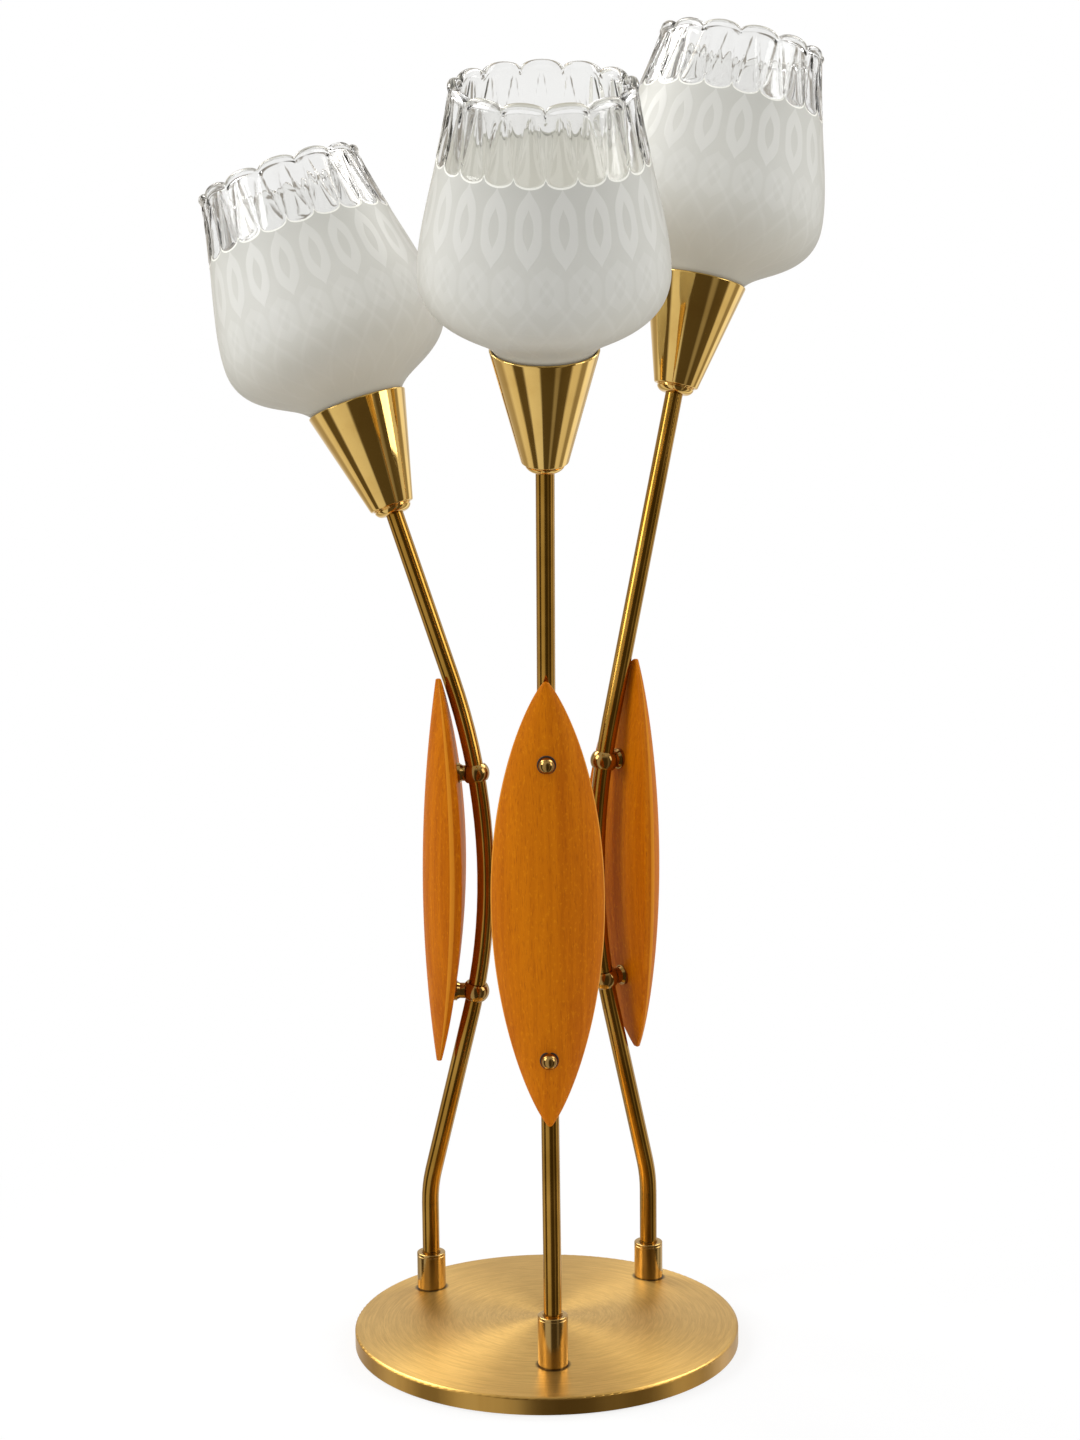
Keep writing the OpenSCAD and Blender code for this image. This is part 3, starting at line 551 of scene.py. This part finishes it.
# %% Aged brass of tubes and collars
def aged_brass(name, dull, clear, roughness):
    """Drawn lines along the tube over patches of a dull and a clear tone."""
    f = Finish(name)
    x, y, z, point = f.place()
    drawn = f.noise(f.vector(x * 260, y * 260, z * 22), 1.0, 2.0, 0.5)
    patch = f.noise(point, 20.0, 3.0, 0.6)
    tone = f.blend(patch.step(0.35, 0.7), dull, clear)
    tone = f.blend(drawn.step(0.45, 0.75) * 0.20, tone, tuple(c * 0.7 for c in dull))
    return f.surface(base_color=tone, metallic=1.0, roughness=roughness + patch * 0.04,
                     normal=f.bump(patch, 0.00010, 0.10))


# %% Polished and darkened brass
def polished_brass(name, clean, worn, roughness, frame_of="Object"):
    """A clean tone with worn clouds and fine worn specks."""
    f = Finish(name)
    _, _, _, point = f.place(frame_of)
    cloud = f.noise(point, 45.0, 3.0, 0.6)
    fine = f.noise(point, 700.0, 2.0, 0.5)
    tone = f.blend(cloud.step(0.42, 0.75) * 0.5, clean, worn)
    tone = f.blend(fine.step(0.66, 0.74) * 0.25, tone, worn)
    return f.surface(base_color=tone, metallic=1.0, roughness=roughness + cloud * 0.05,
                     normal=f.bump(cloud, 0.00012, 0.10))


# %% All brass finishes
SATIN = satin_brass()
AGED = aged_brass("aged_brass", (0.350, 0.184, 0.028), (0.470, 0.262, 0.052), 0.12)
# painted light: the collars get a lighter copy of the tubes' aged brass
COLLAR_LIT = aged_brass("collar_lit_brass", (0.430, 0.278, 0.096), (0.530, 0.350, 0.135), 0.15)
POLISHED = polished_brass("polished_brass", (0.78, 0.53, 0.17), (0.64, 0.40, 0.11), 0.05, "own")
DARKENED = polished_brass("dark_brass", (0.37, 0.225, 0.070), (0.22, 0.125, 0.036), 0.12)
CONTACT = polished_brass("contact_brass", (0.66, 0.48, 0.22), (0.52, 0.35, 0.14), 0.25)
print("brass finishes:", [m.name for m in (SATIN, AGED, COLLAR_LIT, POLISHED, DARKENED, CONTACT)])

# %% [markdown]
# ## Wood
# The leaves are a pale hardwood under a honey-coloured satin lacquer. Grain is noise that has been
# stretched along the tree: broad soft stripes for the growth rings, and short dark ticks for the
# pores. The meshes of the leaves mark their rounded front edges as "edge_share", from 0 to 1. There
# the wood gets painted shade, and along the middle of the edge a painted highlight.

# %% Honey wood
def honey_wood():
    f = Finish("honey_wood")
    x, y, z, point = f.place("own")
    wander = f.noise(point * 3, 3.0, 2.0) * 0.008
    stripes = f.noise(f.vector((x + wander) * 300, (y + wander) * 300, z * 6), 1.0, 4.0, 0.6)
    broad = f.noise(f.vector((x + wander) * 50, (y + wander) * 50, z * 3), 1.0, 2.0, 0.5)
    ticks = f.noise(f.vector(x * 1500, y * 1500, z * 150), 1.0, 2.0, 0.55)
    fleck = f.noise(f.vector(x * 700, y * 700, z * 420), 1.0, 2.0, 0.5)
    tone = f.blend(stripes.step(0.3, 0.72), (0.540, 0.148, 0.0010), (0.415, 0.098, 0.0006))
    tone = f.blend(broad.step(0.35, 0.7) * 0.5, tone, (0.585, 0.172, 0.0014))
    tone = f.blend(ticks.step(0.52, 0.74) * 0.55, tone, (0.300, 0.062, 0.0006))
    tone = f.blend(fleck.step(0.56, 0.72) * 0.35, tone, (0.700, 0.240, 0.0040))
    # painted shade towards the rounded edge, and a painted highlight along its middle
    edge = f.add("ShaderNodeAttribute", {"attribute_name": "edge_share"})["Fac"]
    tone = f.blend(edge.step(0.05, 0.55) * 0.30, tone, (0.340, 0.080, 0.0008))
    tone = f.blend(edge.step(0.72, 0.98) * 0.75, tone, (0.700, 0.265, 0.0180))
    relief = stripes * 0.3 - ticks * 0.4 + fleck * 0.3
    return f.surface(base_color=tone, roughness=0.40 + stripes * 0.12,
                     normal=f.bump(relief, 0.00018, 0.55),
                     coat_weight=0.01, coat_roughness=0.22, specular_ior_level=0.05)


WOOD = honey_wood()
print("wood finish:", WOOD.name)

# %% [markdown]
# ## Glass
# The bowl was etched until it is white and soft, but rings of the mould pattern show through as a
# slightly lighter tone: a row of upright lenses, then rounder and fainter ones between them, and
# lower down a faint lattice of crossing lines. The upper band stayed clear. A point's angle round
# the shade, times the number of cells, tells where in its cell it lies. Painted shade darkens the
# wall towards its top, its foot and its outline, and a painted reflection of the cup browns the
# foot. Etched glass passes light on, so its inner face glows; an emission there stands for the
# light that comes through the wall, and the outer face gives off a little painted glow too.

# %% Etched glass
CELLS = 21
# each row of lenses: middle height and half height in mm, width, shift in cells, strength
LENS_ROWS = (
    (141.0, 20.0, 0.80, 0.0, 1.0), (111, 14.0, 0.94, 0.5, 0.42), (88, 10.5, 0.9, 0.0, 0.22))
# heights in mm: where the lattice comes and goes, its lean, the painted shade at the foot and at the
# top
LATTICE_FROM, LATTICE_TO, LATTICE_MIDDLE, LATTICE_RISE = (58, 76), (112, 128), 60, 26.0
SHADED_FOOT, SHADED_TOP = (62, 116), (118, 166)


def lens_rings(f, turn, height):
    """The rings of all lens rows, as one share; turn is the angle in whole turns."""
    mark = None
    for middle, half, width, shift, share in LENS_ROWS:
        across = abs(f.fraction(turn * CELLS + (10 + shift)) * 2 - 1)
        along = abs((height - middle) / half)
        # a pointed lens: full width at the middle, nothing at the ends
        lens = across / ((1.0001 - along * along).step(0.0, 1.0) * width + 0.0001)
        inner = across / ((0.27 - along * along).step(0.0, 0.36) * width * 0.46 + 0.0001)
        ring = (1 - lens.step(0.88, 1.04)) * inner.step(0.85, 1.12) * (1 - along.step(0.94, 1.03))
        mark = ring * share if mark is None else mark + ring * share
    return mark


def etched_glass(name, light, glow):
    """Etched glass; light scales its tones, a painted light level for each face, and glow is the share
    of them that it gives off as painted glow.
    """
    f = Finish(name)
    x, y, z, point = f.place("own")
    turn, height = f.angle(y, x) / (2 * math.pi), z / MM
    cloud = f.noise(point, 26.0, 3.0, 0.55)
    mark = lens_rings(f, turn, height)
    for way in (1, -1):
        slant = f.fraction(turn * CELLS + (height - LATTICE_MIDDLE) * (way / LATTICE_RISE) + 40)
        line = abs(slant * 2 - 1).step(0.78, 0.97)
        mark = mark + line * height.step(*LATTICE_FROM) * (1 - height.step(*LATTICE_TO)) * 0.40

    def lit(red, green, blue): return red * light, green * light, blue * light

    # painted shade: the top of the wall is a little darker
    tone = f.blend(height.step(*SHADED_TOP), lit(0.585, 0.580, 0.535), lit(0.535, 0.532, 0.490))
    tone = f.blend(mark * 0.50, tone, lit(0.700, 0.695, 0.660))
    tone = f.blend(cloud.step(0.35, 0.75) * 0.20, tone, lit(0.66, 0.655, 0.62))
    # painted shade and a painted reflection of the brass cup: darker and browner towards the foot
    tone = f.blend((1 - height.step(*SHADED_FOOT)) * 0.72, tone, lit(0.42, 0.385, 0.295))
    # painted shade: the wall is darkened towards its outline, where it is seen along its length
    outline_shade = f.add("ShaderNodeLayerWeight", {}, {"Blend": 0.5})["Facing"].step(0.45, 0.98)
    tone = f.blend(outline_shade * 0.60, tone, lit(0.37, 0.36, 0.315))
    fine = f.noise(point, 1400.0, 2.0, 0.5)
    return f.surface(base_color=tone, roughness=0.50 - mark * 0.08,
                     normal=f.bump(mark * 0.9 + fine * 0.12, 0.0005, 0.20),
                     specular_ior_level=0.30, emission_color=tone, emission_strength=glow)


# the outer face, the inner face, and a painted highlight along the line where the etching stops; each
# gives off painted glow
ETCHED, INNER = etched_glass("frosted_glass", 0.97, 0.10), etched_glass("frosted_inside", 0.82, 0.72)
LINE = etched_glass("frosted_painted_highlight", 1.38, 0.25)
print("etched glass:", [m.name for m in (ETCHED, INNER, LINE)])


# %% Clear glass and bulb glass
def clear_glass():
    f = Finish("clear_glass")
    _, _, _, point = f.place("own")
    streaks = f.noise(point, 60.0, 2.0, 0.5)
    return f.surface(base_color=f.blend(streaks, (0.88, 0.88, 0.87), (0.91, 0.91, 0.90)),
                     roughness=0.015 + streaks * 0.02, transmission_weight=1.0, ior=1.49,
                     normal=f.bump(streaks, 0.0004, 0.2))


def opal_glass():
    f = Finish("bulb_glass")
    _, _, _, point = f.place()
    cloud = f.noise(point, 40.0, 2.0, 0.5)
    return f.surface(base_color=f.blend(cloud, (0.80, 0.80, 0.77), (0.86, 0.86, 0.83)),
                     roughness=0.22 + cloud * 0.08, subsurface_weight=0.3,
                     subsurface_radius=(1.0, 1.0, 1.0), subsurface_scale=0.004)


CLEAR, OPAL = clear_glass(), opal_glass()
print("smooth glass:", CLEAR.name, OPAL.name)

# %% [markdown]
# ## Quiet materials
# Felt, iron, steel, porcelain and plastics are seen only from below, from above into a shade, or
# when a bulb is out. Each still gets a tone that varies, a roughness and a relief of its own.

# %% Quiet finishes
def quiet(name, light, dark, scale, roughness, depth, metallic=0.0):
    """One noise for the tone, the roughness and a relief of the given depth in metres."""
    f = Finish(name)
    _, _, _, point = f.place()
    grain = f.noise(point, scale, 3.0, 0.6)
    return f.surface(base_color=f.blend(grain.step(0.3, 0.7), light, dark), metallic=metallic,
                     roughness=roughness + grain * 0.15, normal=f.bump(grain, depth, 0.5))


QUIET = {name: quiet(name, *look) for name, *look in (
    ("plated_steel", (0.62, 0.62, 0.60), (0.50, 0.50, 0.49), 60, 0.26, 0.00005, 1.0),
    ("cast_iron", (0.035, 0.035, 0.037), (0.02, 0.02, 0.022), 420, 0.6, 0.0004, 0.3),
    ("green_felt", (0.050, 0.105, 0.052), (0.026, 0.062, 0.030), 1600, 0.85, 0.0005),
    ("holder_ceramic", (0.80, 0.78, 0.72), (0.74, 0.72, 0.66), 30, 0.16, 0.0001),
    ("dark_plastic", (0.030, 0.026, 0.024), (0.018, 0.015, 0.014), 300, 0.4, 0.00006),
    ("clear_rubber", (0.62, 0.60, 0.54), (0.54, 0.52, 0.46), 120, 0.5, 0.0001),
    ("lead_jacket", (0.68, 0.67, 0.63), (0.60, 0.59, 0.55), 200, 0.4, 0.00008),
    ("brown_bush", (0.10, 0.052, 0.026), (0.06, 0.030, 0.015), 240, 0.38, 0.00006),
    ("dark_washer", (0.030, 0.022, 0.014), (0.016, 0.011, 0.008), 300, 0.45, 0.00006))}
print("quiet finishes:", list(QUIET))

# %% A finish for each plain part
FINISH_OF = dict(QUIET, satin_brass=SATIN, aged_brass=AGED, polished_brass=POLISHED,
                 dark_brass=DARKENED, contact_brass=CONTACT, honey_wood=WOOD,
                 frosted_glass=ETCHED, bulb_glass=OPAL)

slot_of = {s["node"]: s["material_slot"] for s in frame["record"]["subparts"]}
for node, part in frame["nodes"].items():
    part.data.materials.clear()
    part.data.materials.append(FINISH_OF[slot_of[node]])
print("finishes given to", len(slot_of), "parts")


# %% Standing in for a plain part
def stand_in(piece, body, slot, *nodes):
    """The piece rides on a body and hides the plain parts; the slot is not used."""
    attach(piece, body)
    if nodes:
        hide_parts(*nodes)
    return piece


# %% [markdown]
# ## Glass shades
# A shade starts as one outline, turned round its axis. Two things break that symmetry. The clear
# band is pressed into petals: each is round at the bottom, where the etching stops, and narrows to
# a point under the rim. The rim itself is a thick fire-polished bead that dips in thirteen
# notches. Both come from moving the points of the grid, so the edge between clear and etched glass
# follows the petals exactly. There the wall steps out a little, and a line of 1 mm along that edge
# is a painted highlight, brighter than the rest.

# %% Outline of a shade
GLASS_T, BEAD_R, RIM_R, RIM_H = 2.6, 2.5, 46.6, 198
NOTCHES = 13
SHADE_CURVES = (
    ((21.8, 44), (21.8, 54), (24.5, 62), (33, 67.5)),
    ((33, 67.5), (44, 74.6), (64.6, 80), (64.6, 103)),
    ((64.6, 103), (64.6, 128), (50.5, 165), (46.6, 198)),
)
CURVE_STEPS = 60
LOBE_DEPTH, LOBE_Z, TOP_GAP = 4.6, 160.0, 2.0


def cubic(p, t):
    """A point on a curve with two ends and two handles, at a share t from 0 to 1."""
    p = [Vector(q) for q in p]
    near, far = (1 - t) ** 3 * p[0] + 3 * t * (1 - t) ** 2 * p[1], 3 * t * t * (1 - t) * p[2]
    return near + far + t ** 3 * p[3]


samples = [cubic(curve, i / CURVE_STEPS) for n, curve in enumerate(SHADE_CURVES)
           for i in range(min(n, 1), CURVE_STEPS + 1)]
wall = np.array([(p.x, p.y) for p in samples])
run = np.concatenate([[0], np.cumsum(np.linalg.norm(np.diff(wall, axis=0), axis=1))])
slope = np.gradient(wall, run, axis=0)
slope /= np.linalg.norm(slope, axis=1)[:, None]
LOBE_RUN, TOP_RUN = (float(np.interp(h, wall[:, 1], run)) for h in (LOBE_Z, RIM_H - TOP_GAP))


def wall_point(s, out):
    """Point on the wall at distance s along the outline, moved outwards by out."""
    r, h = (np.interp(s, run, wall[:, i]) for i in (0, 1))
    dr, dh = (np.interp(s, run, slope[:, i]) for i in (0, 1))
    return r + dh * out, h - dr * out


print("outline length:", round(run[-1], 1), "mm; petals end at", round(LOBE_RUN, 1))


# %% Petals and notches
def petal_relief(u, v):
    """Relief in the clear band, in millimetres.

    u is -1 to 1 across a cell; v is 0 at the petal's end and 1 at the rim.
    """
    half = 0.10 + 0.86 * (1 - v) ** 0.75
    a = abs(u)
    if a < half:
        swell = 0.95 * (1 - (a / half) ** 2) ** 0.8
    else:
        swell = 0.75 * (1 - ((1 - a) / (1 - half + 1e-6)) ** 2)
    fade = min(1, v / 0.06) * min(1, (1 - v) / 0.12)
    return (swell - 0.42) * fade


def arch(u):
    """0 in the middle of a stretch and 1 at its ends, along a half circle; u is -1 to 1."""
    return 1 - math.sqrt(max(0, 1 - u * u))


print("half way up, petals stand out", round(petal_relief(0, 0.5), 2), "mm")


# %% Build a shade
PER_CELL = 16
BODY_ROWS, BAND_ROWS, BEAD_STEPS, INNER_ROWS = 54, 34, 14, 60
STEP_OUT, LINE_WIDTH, INNER_BAND = 0.18, 1.0, 0.25
# what a notch does: the wall ends lower, and the bead moves in and down and gets thinner
NOTCH_TOP, NOTCH_IN, NOTCH_DOWN, NOTCH_THIN = 3.4, 0.9, 3.8, 0.22
BEAD_FROM, BEAD_TURN = -38, 256
# order of the finishes on a shade's mesh
BODY_SLOT, CLEAR_SLOT, INNER_SLOT, LINE_SLOT = range(4)


def build_shade(k):
    side = SIDES[k]
    columns = CELLS * PER_CELL
    bm = bmesh.new()
    rows = []
    angle = [2 * math.pi * j / columns for j in range(columns)]
    across = [2 * ((j / PER_CELL) % 1) - 1 for j in range(columns)]
    edge = [LOBE_RUN + LOBE_DEPTH * arch(u) for u in across]
    notch = [arch(2 * ((a * NOTCHES / 2 / math.pi) % 1) - 1) for a in angle]
    top = [TOP_RUN - NOTCH_TOP * n for n in notch]

    def add_row(point_at):
        row = []
        for j in range(columns):
            r, h = point_at(j)
            row.append((r * math.cos(angle[j]), r * math.sin(angle[j]), h))
        rows.append(row)

    # rows go up the outside, over the bead and down the inside
    for i in range(BODY_ROWS + 1):
        add_row(lambda j: wall_point(edge[j] * i / BODY_ROWS, STEP_OUT * (i == BODY_ROWS)))
    for i in range(BAND_ROWS):
        v = i / (BAND_ROWS - 1)
        add_row(lambda j: wall_point(
            edge[j] + LINE_WIDTH + (top[j] - edge[j] - LINE_WIDTH) * v, petal_relief(across[j], v)))
    for i in range(1, BEAD_STEPS):
        turn = BEAD_FROM + BEAD_TURN * i / BEAD_STEPS
        add_row(lambda j: (
            RIM_R - GLASS_T / 2 - NOTCH_IN * notch[j]
            + BEAD_R * (1 - NOTCH_THIN * notch[j]) * cos(turn),
            RIM_H - NOTCH_DOWN * notch[j] + BEAD_R * (1 - NOTCH_THIN * notch[j]) * sin(turn)))
    for i in range(INNER_ROWS + 1):
        v = i / INNER_ROWS
        add_row(lambda j: wall_point(
            top[j] + (edge[j] - top[j]) * v / INNER_BAND if v < INNER_BAND
            else edge[j] * (1 - (v - INNER_BAND) / (1 - INNER_BAND)), -GLASS_T))
    _, faces = add_grid(bm, rows, joined=True)
    last_clear = BODY_ROWS + BAND_ROWS + BEAD_STEPS + int(INNER_ROWS * INNER_BAND) - 1
    for number, face in enumerate(faces):
        row = number // columns
        face.material_index = (BODY_SLOT if row < BODY_ROWS else LINE_SLOT if row == BODY_ROWS
                               else CLEAR_SLOT if row <= last_clear else INNER_SLOT)
    piece = to_object(side + "_shade", bm, cup_frame(k), ETCHED, crease=60)
    for finish in (CLEAR, INNER, LINE):
        piece.data.materials.append(finish)
    return stand_in(piece, side + "_shade", "frosted_glass", side + "_glass_shade")


for k in range(3):
    shade = build_shade(k)
    print(shade.name, "faces:", len(shade.data.polygons))

# %% [markdown]
# ## Wooden leaves
# Seen from the front each leaf is a pointed oval, and from the side it is thick in the middle with
# a back that bends away from the stem. Slices across the leaf are laid out along its length, each
# with a flat back, a short upright edge and a crowned front, and the corners between them are
# rounded over, as sanding does.

# %% Faces of a leaf
def bow_at(k, z): return BOW_R[k] - math.sqrt(BOW_R[k] ** 2 - z * z)


def wood_back(k, z):
    """How far the back lies from the line through the clamps, at a height above the middle."""
    return TUBE_R + PANEL_GAP[k] + bow_at(k, z) - bow_at(k, half_span(k) + PANEL_RISE[k])


def fade_at(k, z): return 1 - (2 * z / PANEL_L[k]) ** 2
def wood_edge(k, z): return wood_back(k, z) + TIP_T / 2 + (PANEL_EDGE - TIP_T / 2) * fade_at(k, z)
def wood_front(k, z): return wood_back(k, z) + TIP_T + (PANEL_T - TIP_T) * fade_at(k, z)
def half_width(k, z): return PANEL_W / 2 * max(0, fade_at(k, z)) ** TIP_POWER


for k, side in enumerate(SIDES):
    print(side, "leaf:", round(wood_front(k, 0) - wood_back(k, 0), 1), "mm thick in the middle")


# %% Slices of a leaf
ARC_STEPS, ROUND_STEPS = 30, 4
BACK_ROUND, EDGE_ROUND, LEAST_HALF_WIDTH = 1.2, 1.3, 0.25


def rounded(corners, radii, steps=ROUND_STEPS):
    """A closed outline with each corner rounded; each rounding is kept within its two sides."""
    out = []
    n = len(corners)
    for i, (c, radius) in enumerate(zip(corners, radii)):
        if radius <= 0:
            out.append(tuple(c))
            continue
        a, b = Vector(corners[i - 1]) - Vector(c), Vector(corners[(i + 1) % n]) - Vector(c)
        reach = min(radius, 0.45 * a.length, 0.45 * b.length)
        p, q = Vector(c) + a.normalized() * reach, Vector(c) + b.normalized() * reach
        for s in range(steps + 1):
            t = s / steps
            out.append(tuple((1 - t) ** 2 * p + 2 * t * (1 - t) * Vector(c) + t * t * q))
    return out


def slice_points(k, z):
    """One closed ring across leaf k: two back corners, an edge, the crown and the other edge."""
    w = max(half_width(k, z), LEAST_HALF_WIDTH)
    edge, front, back = wood_edge(k, z), wood_front(k, z), wood_back(k, z)
    h = front - edge
    r = (w * w + h * h) / (2 * h)
    half_arc = math.atan2(w, r - h)
    crown = [(front - r + r * math.cos(a), r * math.sin(a)) for a in
             (half_arc * (2 * i / ARC_STEPS - 1) for i in range(ARC_STEPS + 1))]
    corners = [(back, w), (back, -w), (edge, -w)] + crown[1:-1] + [(edge, w)]
    radii = [BACK_ROUND] * 2 + [EDGE_ROUND] + [0] * (ARC_STEPS - 1) + [EDGE_ROUND]
    ring = rounded(corners, radii)
    return [(x, y, z + PANEL_RISE[k]) for x, y in ring]


print("points in a slice:", len(slice_points(0, 0)))


# %% Build a leaf
PANEL_STEPS = 84
PER_ROUND = ROUND_STEPS + 1
TIP_SHRINK, TIP_DOME = 0.6, 0.45


def build_leaf(k):
    side = SIDES[k]
    end = PANEL_L[k] / 2 * math.sqrt(1 - (TIP_W / PANEL_W) ** (1 / TIP_POWER))
    bm = bmesh.new()
    rows = [slice_points(k, -end * math.cos(math.pi * i / PANEL_STEPS)) for i in range(PANEL_STEPS + 1)]
    # a mark on the rounded front edges, for their painted shade and painted highlight
    edge_share = bm.verts.layers.float.new("edge_share")
    rings, _ = add_grid(bm, rows)
    for ring in rings:
        for vert in ring[2 * PER_ROUND:3 * PER_ROUND] + ring[-PER_ROUND:]:
            vert[edge_share] = 1.0
    for ring, outwards in ((rings[0], -1), (rings[-1], 1)):
        # a small dome closes the blunt tip
        middle = sum((v.co for v in ring), Vector()) / len(ring)
        shrunk = [bm.verts.new(middle + (v.co - middle) * TIP_SHRINK
                               + Vector((0, 0, outwards * TIP_DOME))) for v in ring]
        for j in range(len(ring)):
            m = (j + 1) % len(ring)
            bm.faces.new((ring[j], ring[m], shrunk[m], shrunk[j]))
        bm.faces.new(shrunk)
    return to_object(side + "_leaf", bm, panel_frame(k), WOOD, crease=50)


for k, side in enumerate(SIDES):
    leaf = build_leaf(k)
    stand_in(leaf, "lamp", "honey_wood", side + "_wood_panel")
    print(leaf.name, "faces:", len(leaf.data.polygons))

# %% [markdown]
# ## Cups, caps and collars
# These were turned, so each is one outline. The exact model leaves their edges plain. Here the cup
# gets a rolled rim and a rounded foot, the cap a fine groove that draws a dark line with a bright
# lip above it, and the collar a rounded lip and a hairline gap where it meets the base.

# %% Outline of a cup
BORE = TUBE_R + SLIP
CUP_FOOT_ROUND = 1.0


def cup_outline():
    """From the bore round the foot, up the cone, over the rolled rim and down to the floor."""
    slant = (CUP_R - CUP_FOOT_R) / CUP_H
    foot = arc((CUP_FOOT_R - CUP_FOOT_ROUND, CUP_FOOT_ROUND), CUP_FOOT_ROUND, -90, -14, 5)
    rim = arc((CUP_R - CUP_BEAD_R, CUP_H), CUP_BEAD_R, -15, 195, 12)
    inner_foot = CUP_FOOT_R - CUP_T + slant * CUP_FLOOR
    return [(BORE, 0)] + foot + rim + [(inner_foot, CUP_FLOOR), (BORE, CUP_FLOOR)]


print("points in a cup's outline:", len(cup_outline()))

# %% Outline of a cap
CAP_FOOT_WALL, CAP_GROOVE, CAP_LIP_ROUND = 1.7, 0.75, 0.2


def cap_outline():
    """A dome, a groove close below the top, and a lip with both its edges eased."""
    low = TUBE_R + CAP_FOOT_WALL
    dome_r = ((CAP_R - low) ** 2 + CAP_H ** 2) / (2 * (CAP_R - low))
    dome_from = -math.degrees(math.asin(min(1, CAP_H / dome_r)))
    dome = arc((CAP_R - dome_r, 0), dome_r, dome_from, -17, 9)
    groove = [(CAP_R - CAP_GROOVE, -1.05), (CAP_R - CAP_GROOVE, -0.8)]
    lip = [(CAP_R - CAP_LIP_ROUND, -0.7), (CAP_R, -0.5), (CAP_R, -CAP_LIP_ROUND),
           (CAP_R - CAP_LIP_ROUND, 0)]
    return [(BORE, -CAP_H)] + dome + groove + lip + [(BORE, 0)]


print("points in a cap's outline:", len(cap_outline()))

# %% Outline of a collar
COLLAR_SINK, COLLAR_GAP, COLLAR_GROOVE, COLLAR_LIP = 1.2, 0.5, 0.18, 0.6


def collar_outline(k):
    """A gap at the base, a plain side, a shallow groove below the top, and a rounded lip."""
    low = crown_height(foot_place(k).to_2d().length)
    top, r = low + COLLAR_H[k], COLLAR_D / 2
    foot = [(BORE, low - COLLAR_SINK), (r - COLLAR_GAP, low - COLLAR_SINK),
            (r - COLLAR_GAP, low + 0.45), (r, low + 0.7)]
    groove = [(r, top - 1.9), (r - COLLAR_GROOVE, top - 1.75), (r - COLLAR_GROOVE, top - 1.5),
              (r, top - 1.35)]
    lip = arc((r - COLLAR_LIP, top - COLLAR_LIP), COLLAR_LIP, 0, 90, 5)
    return foot + groove + lip + [(TUBE_R + 0.9, top), (BORE, top - 0.7)]


print("points in a collar's outline:", len(collar_outline(0)))

# %% Turn the cups, caps and collars
for k, side in enumerate(SIDES):
    cup = turned(side + "_cup_shell", cup_outline(), cup_frame(k), POLISHED)
    stand_in(cup, "lamp", "polished_brass", side + "_cup")
    cap = turned(side + "_cup_cap_fine", cap_outline(), cup_frame(k), POLISHED)
    stand_in(cap, "lamp", "polished_brass", side + "_cup_cap")
    placed = Matrix.Translation(foot_place(k))
    collar = turned(side + "_collar_fine", collar_outline(k), placed, COLLAR_LIT)
    stand_in(collar, "lamp", "aged_brass", side + "_collar")
    print(side, "cup, cap and collar:", [len(p.data.polygons) for p in (cup, cap, collar)])

# %% [markdown]
# ## Dark rings under the ball heads
# A thin blackened washer lies between each ball head and the front leaf. Seen from the front it is
# only a dark line round the ball, but that line is what makes the ball stand off the wood. The
# ring is sunk a little, because the front of the leaf is crowned, and its hole hides in the ball.

# %% Seat rings
HOLE_R, RING_R, CHAMFER = 3.6, 5.2, 0.2
SUNK, PROUD = 0.9, 0.2
for number, side in enumerate((1, -1)):
    z = side * half_span(0)
    front = wood_front(0, z - PANEL_RISE[0])
    placed = panel_frame(0) @ Matrix.Translation((front, 0, z)) @ Matrix.Rotation(math.pi / 2, 4, "Y")
    outline = [(HOLE_R, -SUNK), (RING_R, -SUNK), (RING_R, PROUD - CHAMFER),
               (RING_R - CHAMFER, PROUD), (HOLE_R, PROUD)]
    ring = turned(f"front_seat_ring_{number}", outline, placed, QUIET["dark_washer"], around=48)
    stand_in(ring, "lamp", "dark_washer", *(["panel_washers"] if number == 0 else []))
    print(ring.name, "at height", round(placed.translation.z, 1), "mm")
